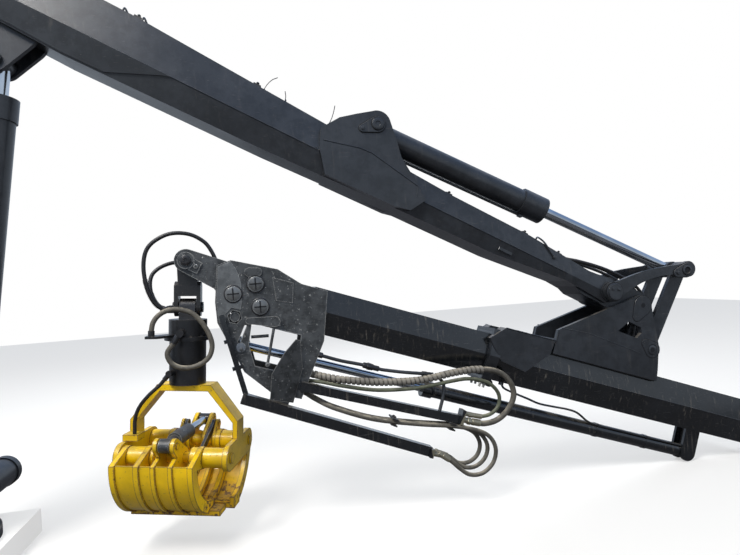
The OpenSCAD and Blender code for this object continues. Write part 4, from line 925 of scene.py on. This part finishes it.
# Swivel hoses. Two black hoses come out of the tip, hang in loops beside the link and end in its ears, with
# wire guards wound round their ends.
SWIVEL_LOOPS = {
    "near": (-1, [(150, -18, -52), (137, -16, -4), (113, -22, 50), (80, -30, 95), (23, -44, 128),
                  (-39, -56, 137), (-99, -60, 126), (-158, -60, 90), (-190, -60, 46), (-201, -60, -17),
                  (-195, -58, -90), (-176, -52, -160), (-146, -42, -214), (-112, -34, -238),
                  (-92, -33, -240)]),
    "far": (1, [(120, 118, -20), (60, 118, -4), (0, 117, 2), (-53, 112, -1), (-98, 98, -6), (-150, 82, -30),
                (-185, 68, -68), (-192, 56, -120), (-178, 46, -180), (-146, 38, -226), (-112, 34, -239),
                (-92, 33, -240)]),
}
swivel_ends = bmesh.new()
for label, (side, loop) in SWIVEL_LOOPS.items():
    path = smooth_path(to_world(HANG, loop), 6)
    wire = bmesh.new()
    wind_strip(wire, path, (0.76, 0.955), 0.0125, 0.0062, 0.0034, 0.0025, 10)
    wire_guard = make_piece("swivel_guard_" + label, wire, "hanging_link", HOSE_BLACK)
    make_bending_hose("swivel_hose_" + label, path, 0.010)
    corners = [(-95, -258), (-63, -258), (-63, -222), (-95, -222)]
    add_plate(swivel_ends, HANG, corners, side * 18, side * 46, 2)
    add_turned(swivel_ends, HANG, (-95, side * 33, -240), (-1, 0, 0),
               [(0, 14), (14, 14), (15, 12.5), (32, 12.5)], 6)
make_piece("swivel_hose_ends", swivel_ends, "hanging_link", GREASY_IRON)
swivel_ports = bmesh.new()
add_plate(swivel_ports, HANG, [(136, -84), (172, -84), (172, -50), (136, -50)], -43, -2, 2)
add_turned(swivel_ports, HANG, (120, 100, -20), (0, 1, 0), [(0, 17), (28, 17), (30, 15)], 6)
make_piece("swivel_ports", swivel_ports, "extension", GREASY_IRON)

# Rotator bolts. A ring of twelve hexagon bolts stands on the rotator's flange. They are as greasy as the
# casting.
BOLTS = 12
BOLT_CIRCLE = 102
rotator_bolts = bmesh.new()
for index in range(BOLTS):
    angle = 2 * math.pi * (index + 0.5) / BOLTS
    seat = (BOLT_CIRCLE * math.cos(angle), BOLT_CIRCLE * math.sin(angle), -372)
    add_bolt(rotator_bolts, HANG, seat, (0, 0, 1), 7, index)
make_piece("rotator_bolts", rotator_bolts, "rotator", GREASY_IRON)

# Floor and backdrop. A plain pale floor lies just below the crane's lowest point, with a plain block under
# its foot, which a machine's frame carries in use. Both look pale to the camera and darker to other rays.
FLOOR_HALF = 14.0
FLOOR_LEVEL = CAD_BOX[0][2] - 0.004
stage_pale = bpy.data.materials.new("floor")
stage_pale.use_nodes = True
pale = stage_pale.node_tree
pale_shader = pale.nodes["Principled BSDF"]
pale_shader.inputs["Roughness"].default_value = 0.9
looked_at = add(pale, "ShaderNodeLightPath")
pale.links.new(mixed(pale, looked_at.outputs["Is Camera Ray"], (0.10, 0.10, 0.11), (0.42, 0.42, 0.42)),
               pale_shader.inputs["Base Color"])
pale_shader.inputs["Emission Color"].default_value = (1.0, 1.0, 1.0, 1.0)
pale.links.new(product(pale, looked_at.outputs["Is Camera Ray"], 0.48),
               pale_shader.inputs["Emission Strength"])
floor_mesh = bpy.data.meshes.new("floor")
floor_mesh.from_pydata([(-FLOOR_HALF, -FLOOR_HALF, FLOOR_LEVEL), (FLOOR_HALF, -FLOOR_HALF, FLOOR_LEVEL),
                        (FLOOR_HALF, FLOOR_HALF, FLOOR_LEVEL), (-FLOOR_HALF, FLOOR_HALF, FLOOR_LEVEL)], [],
                       [(0, 1, 2, 3)])
floor = bpy.data.objects.new("floor", floor_mesh)
floor.data.materials.append(stage_pale)
bpy.context.scene.collection.objects.link(floor)
FOOT_MARGIN = 0.05
foot_low, foot_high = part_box("base_flange")
near_x, far_x = foot_low[0] - FOOT_MARGIN, foot_high[0] + FOOT_MARGIN
foot_top = foot_low[2] - 0.002
foot_shape = bmesh.new()
add_plate(foot_shape, ROW,
          [(near_x, FLOOR_LEVEL), (far_x, FLOOR_LEVEL), (far_x, foot_top), (near_x, foot_top)],
          foot_low[1] - FOOT_MARGIN, foot_high[1] + FOOT_MARGIN, 0.001)
make_object("foot_block", foot_shape, stage_pale)

# Sky. The camera sees plain white. Reflections show a sky that turns from pale to blue with height, and
# everything else gets a soft even light.
world = bpy.data.worlds.new("studio")
bpy.context.scene.world = world
world.use_nodes = True
sky = world.node_tree
for old in list(sky.nodes):
    sky.nodes.remove(old)
paths = add(sky, "ShaderNodeLightPath")
seen = math_node(sky, "MAXIMUM", paths.outputs["Is Camera Ray"], paths.outputs["Is Transmission Ray"])
direction = add(sky, "ShaderNodeTexCoord")
height = add(sky, "ShaderNodeSeparateXYZ", links={"Vector": direction.outputs["Generated"]})
sky_colour = mixed(sky, ramp(sky, height.outputs["Z"], 0.0, 0.7), (0.62, 0.70, 0.80), (0.30, 0.46, 0.78))
soft = add(sky, "ShaderNodeBackground", {"Color": (0.94, 0.97, 1.0, 1.0), "Strength": 0.55})
mirror = add(sky, "ShaderNodeBackground", {"Strength": 0.95}, {"Color": sky_colour})
white = add(sky, "ShaderNodeBackground", {"Color": (1.0, 1.0, 1.0, 1.0), "Strength": 1.0})
first = add(sky, "ShaderNodeMixShader",
            links={0: paths.outputs["Is Glossy Ray"], 1: soft.outputs[0], 2: mirror.outputs[0]})
second = add(sky, "ShaderNodeMixShader", links={0: seen, 1: first.outputs[0], 2: white.outputs[0]})
add(sky, "ShaderNodeOutputWorld", links={"Surface": second.outputs[0]})


# Lamps. A warm key stands high over the near side. Two weaker and cooler lamps stand beyond the knuckle and
# behind the crane.
def lamp(name, place, target, size, power, colour, mirrored=False):
    """A square soft lamp that looks at a target; the paint mirrors it only where that is asked for."""
    data = bpy.data.lights.new(name, "AREA")
    data.size = size
    data.energy = power
    data.color = colour
    item = bpy.data.objects.new(name, data)
    item.location = place
    item.rotation_euler = (Vector(target) - Vector(place)).to_track_quat("-Z", "Y").to_euler()
    item.visible_glossy = mirrored
    bpy.context.scene.collection.objects.link(item)


lamp("key", (-1.6, -3.2, 6.8), (2.2, 0.0, 1.2), 2.4, 620.0, (1.0, 0.96, 0.90), True)
lamp("side", (6.5, -3.0, 3.5), (2.5, 0.0, 1.0), 2.5, 70.0, (0.92, 0.96, 1.0))
lamp("back", (2.0, 4.5, 5.0), (2.0, 0.0, 1.2), 3.0, 200.0, (0.95, 0.98, 1.0))
bpy.context.scene.view_settings.view_transform = "Standard"
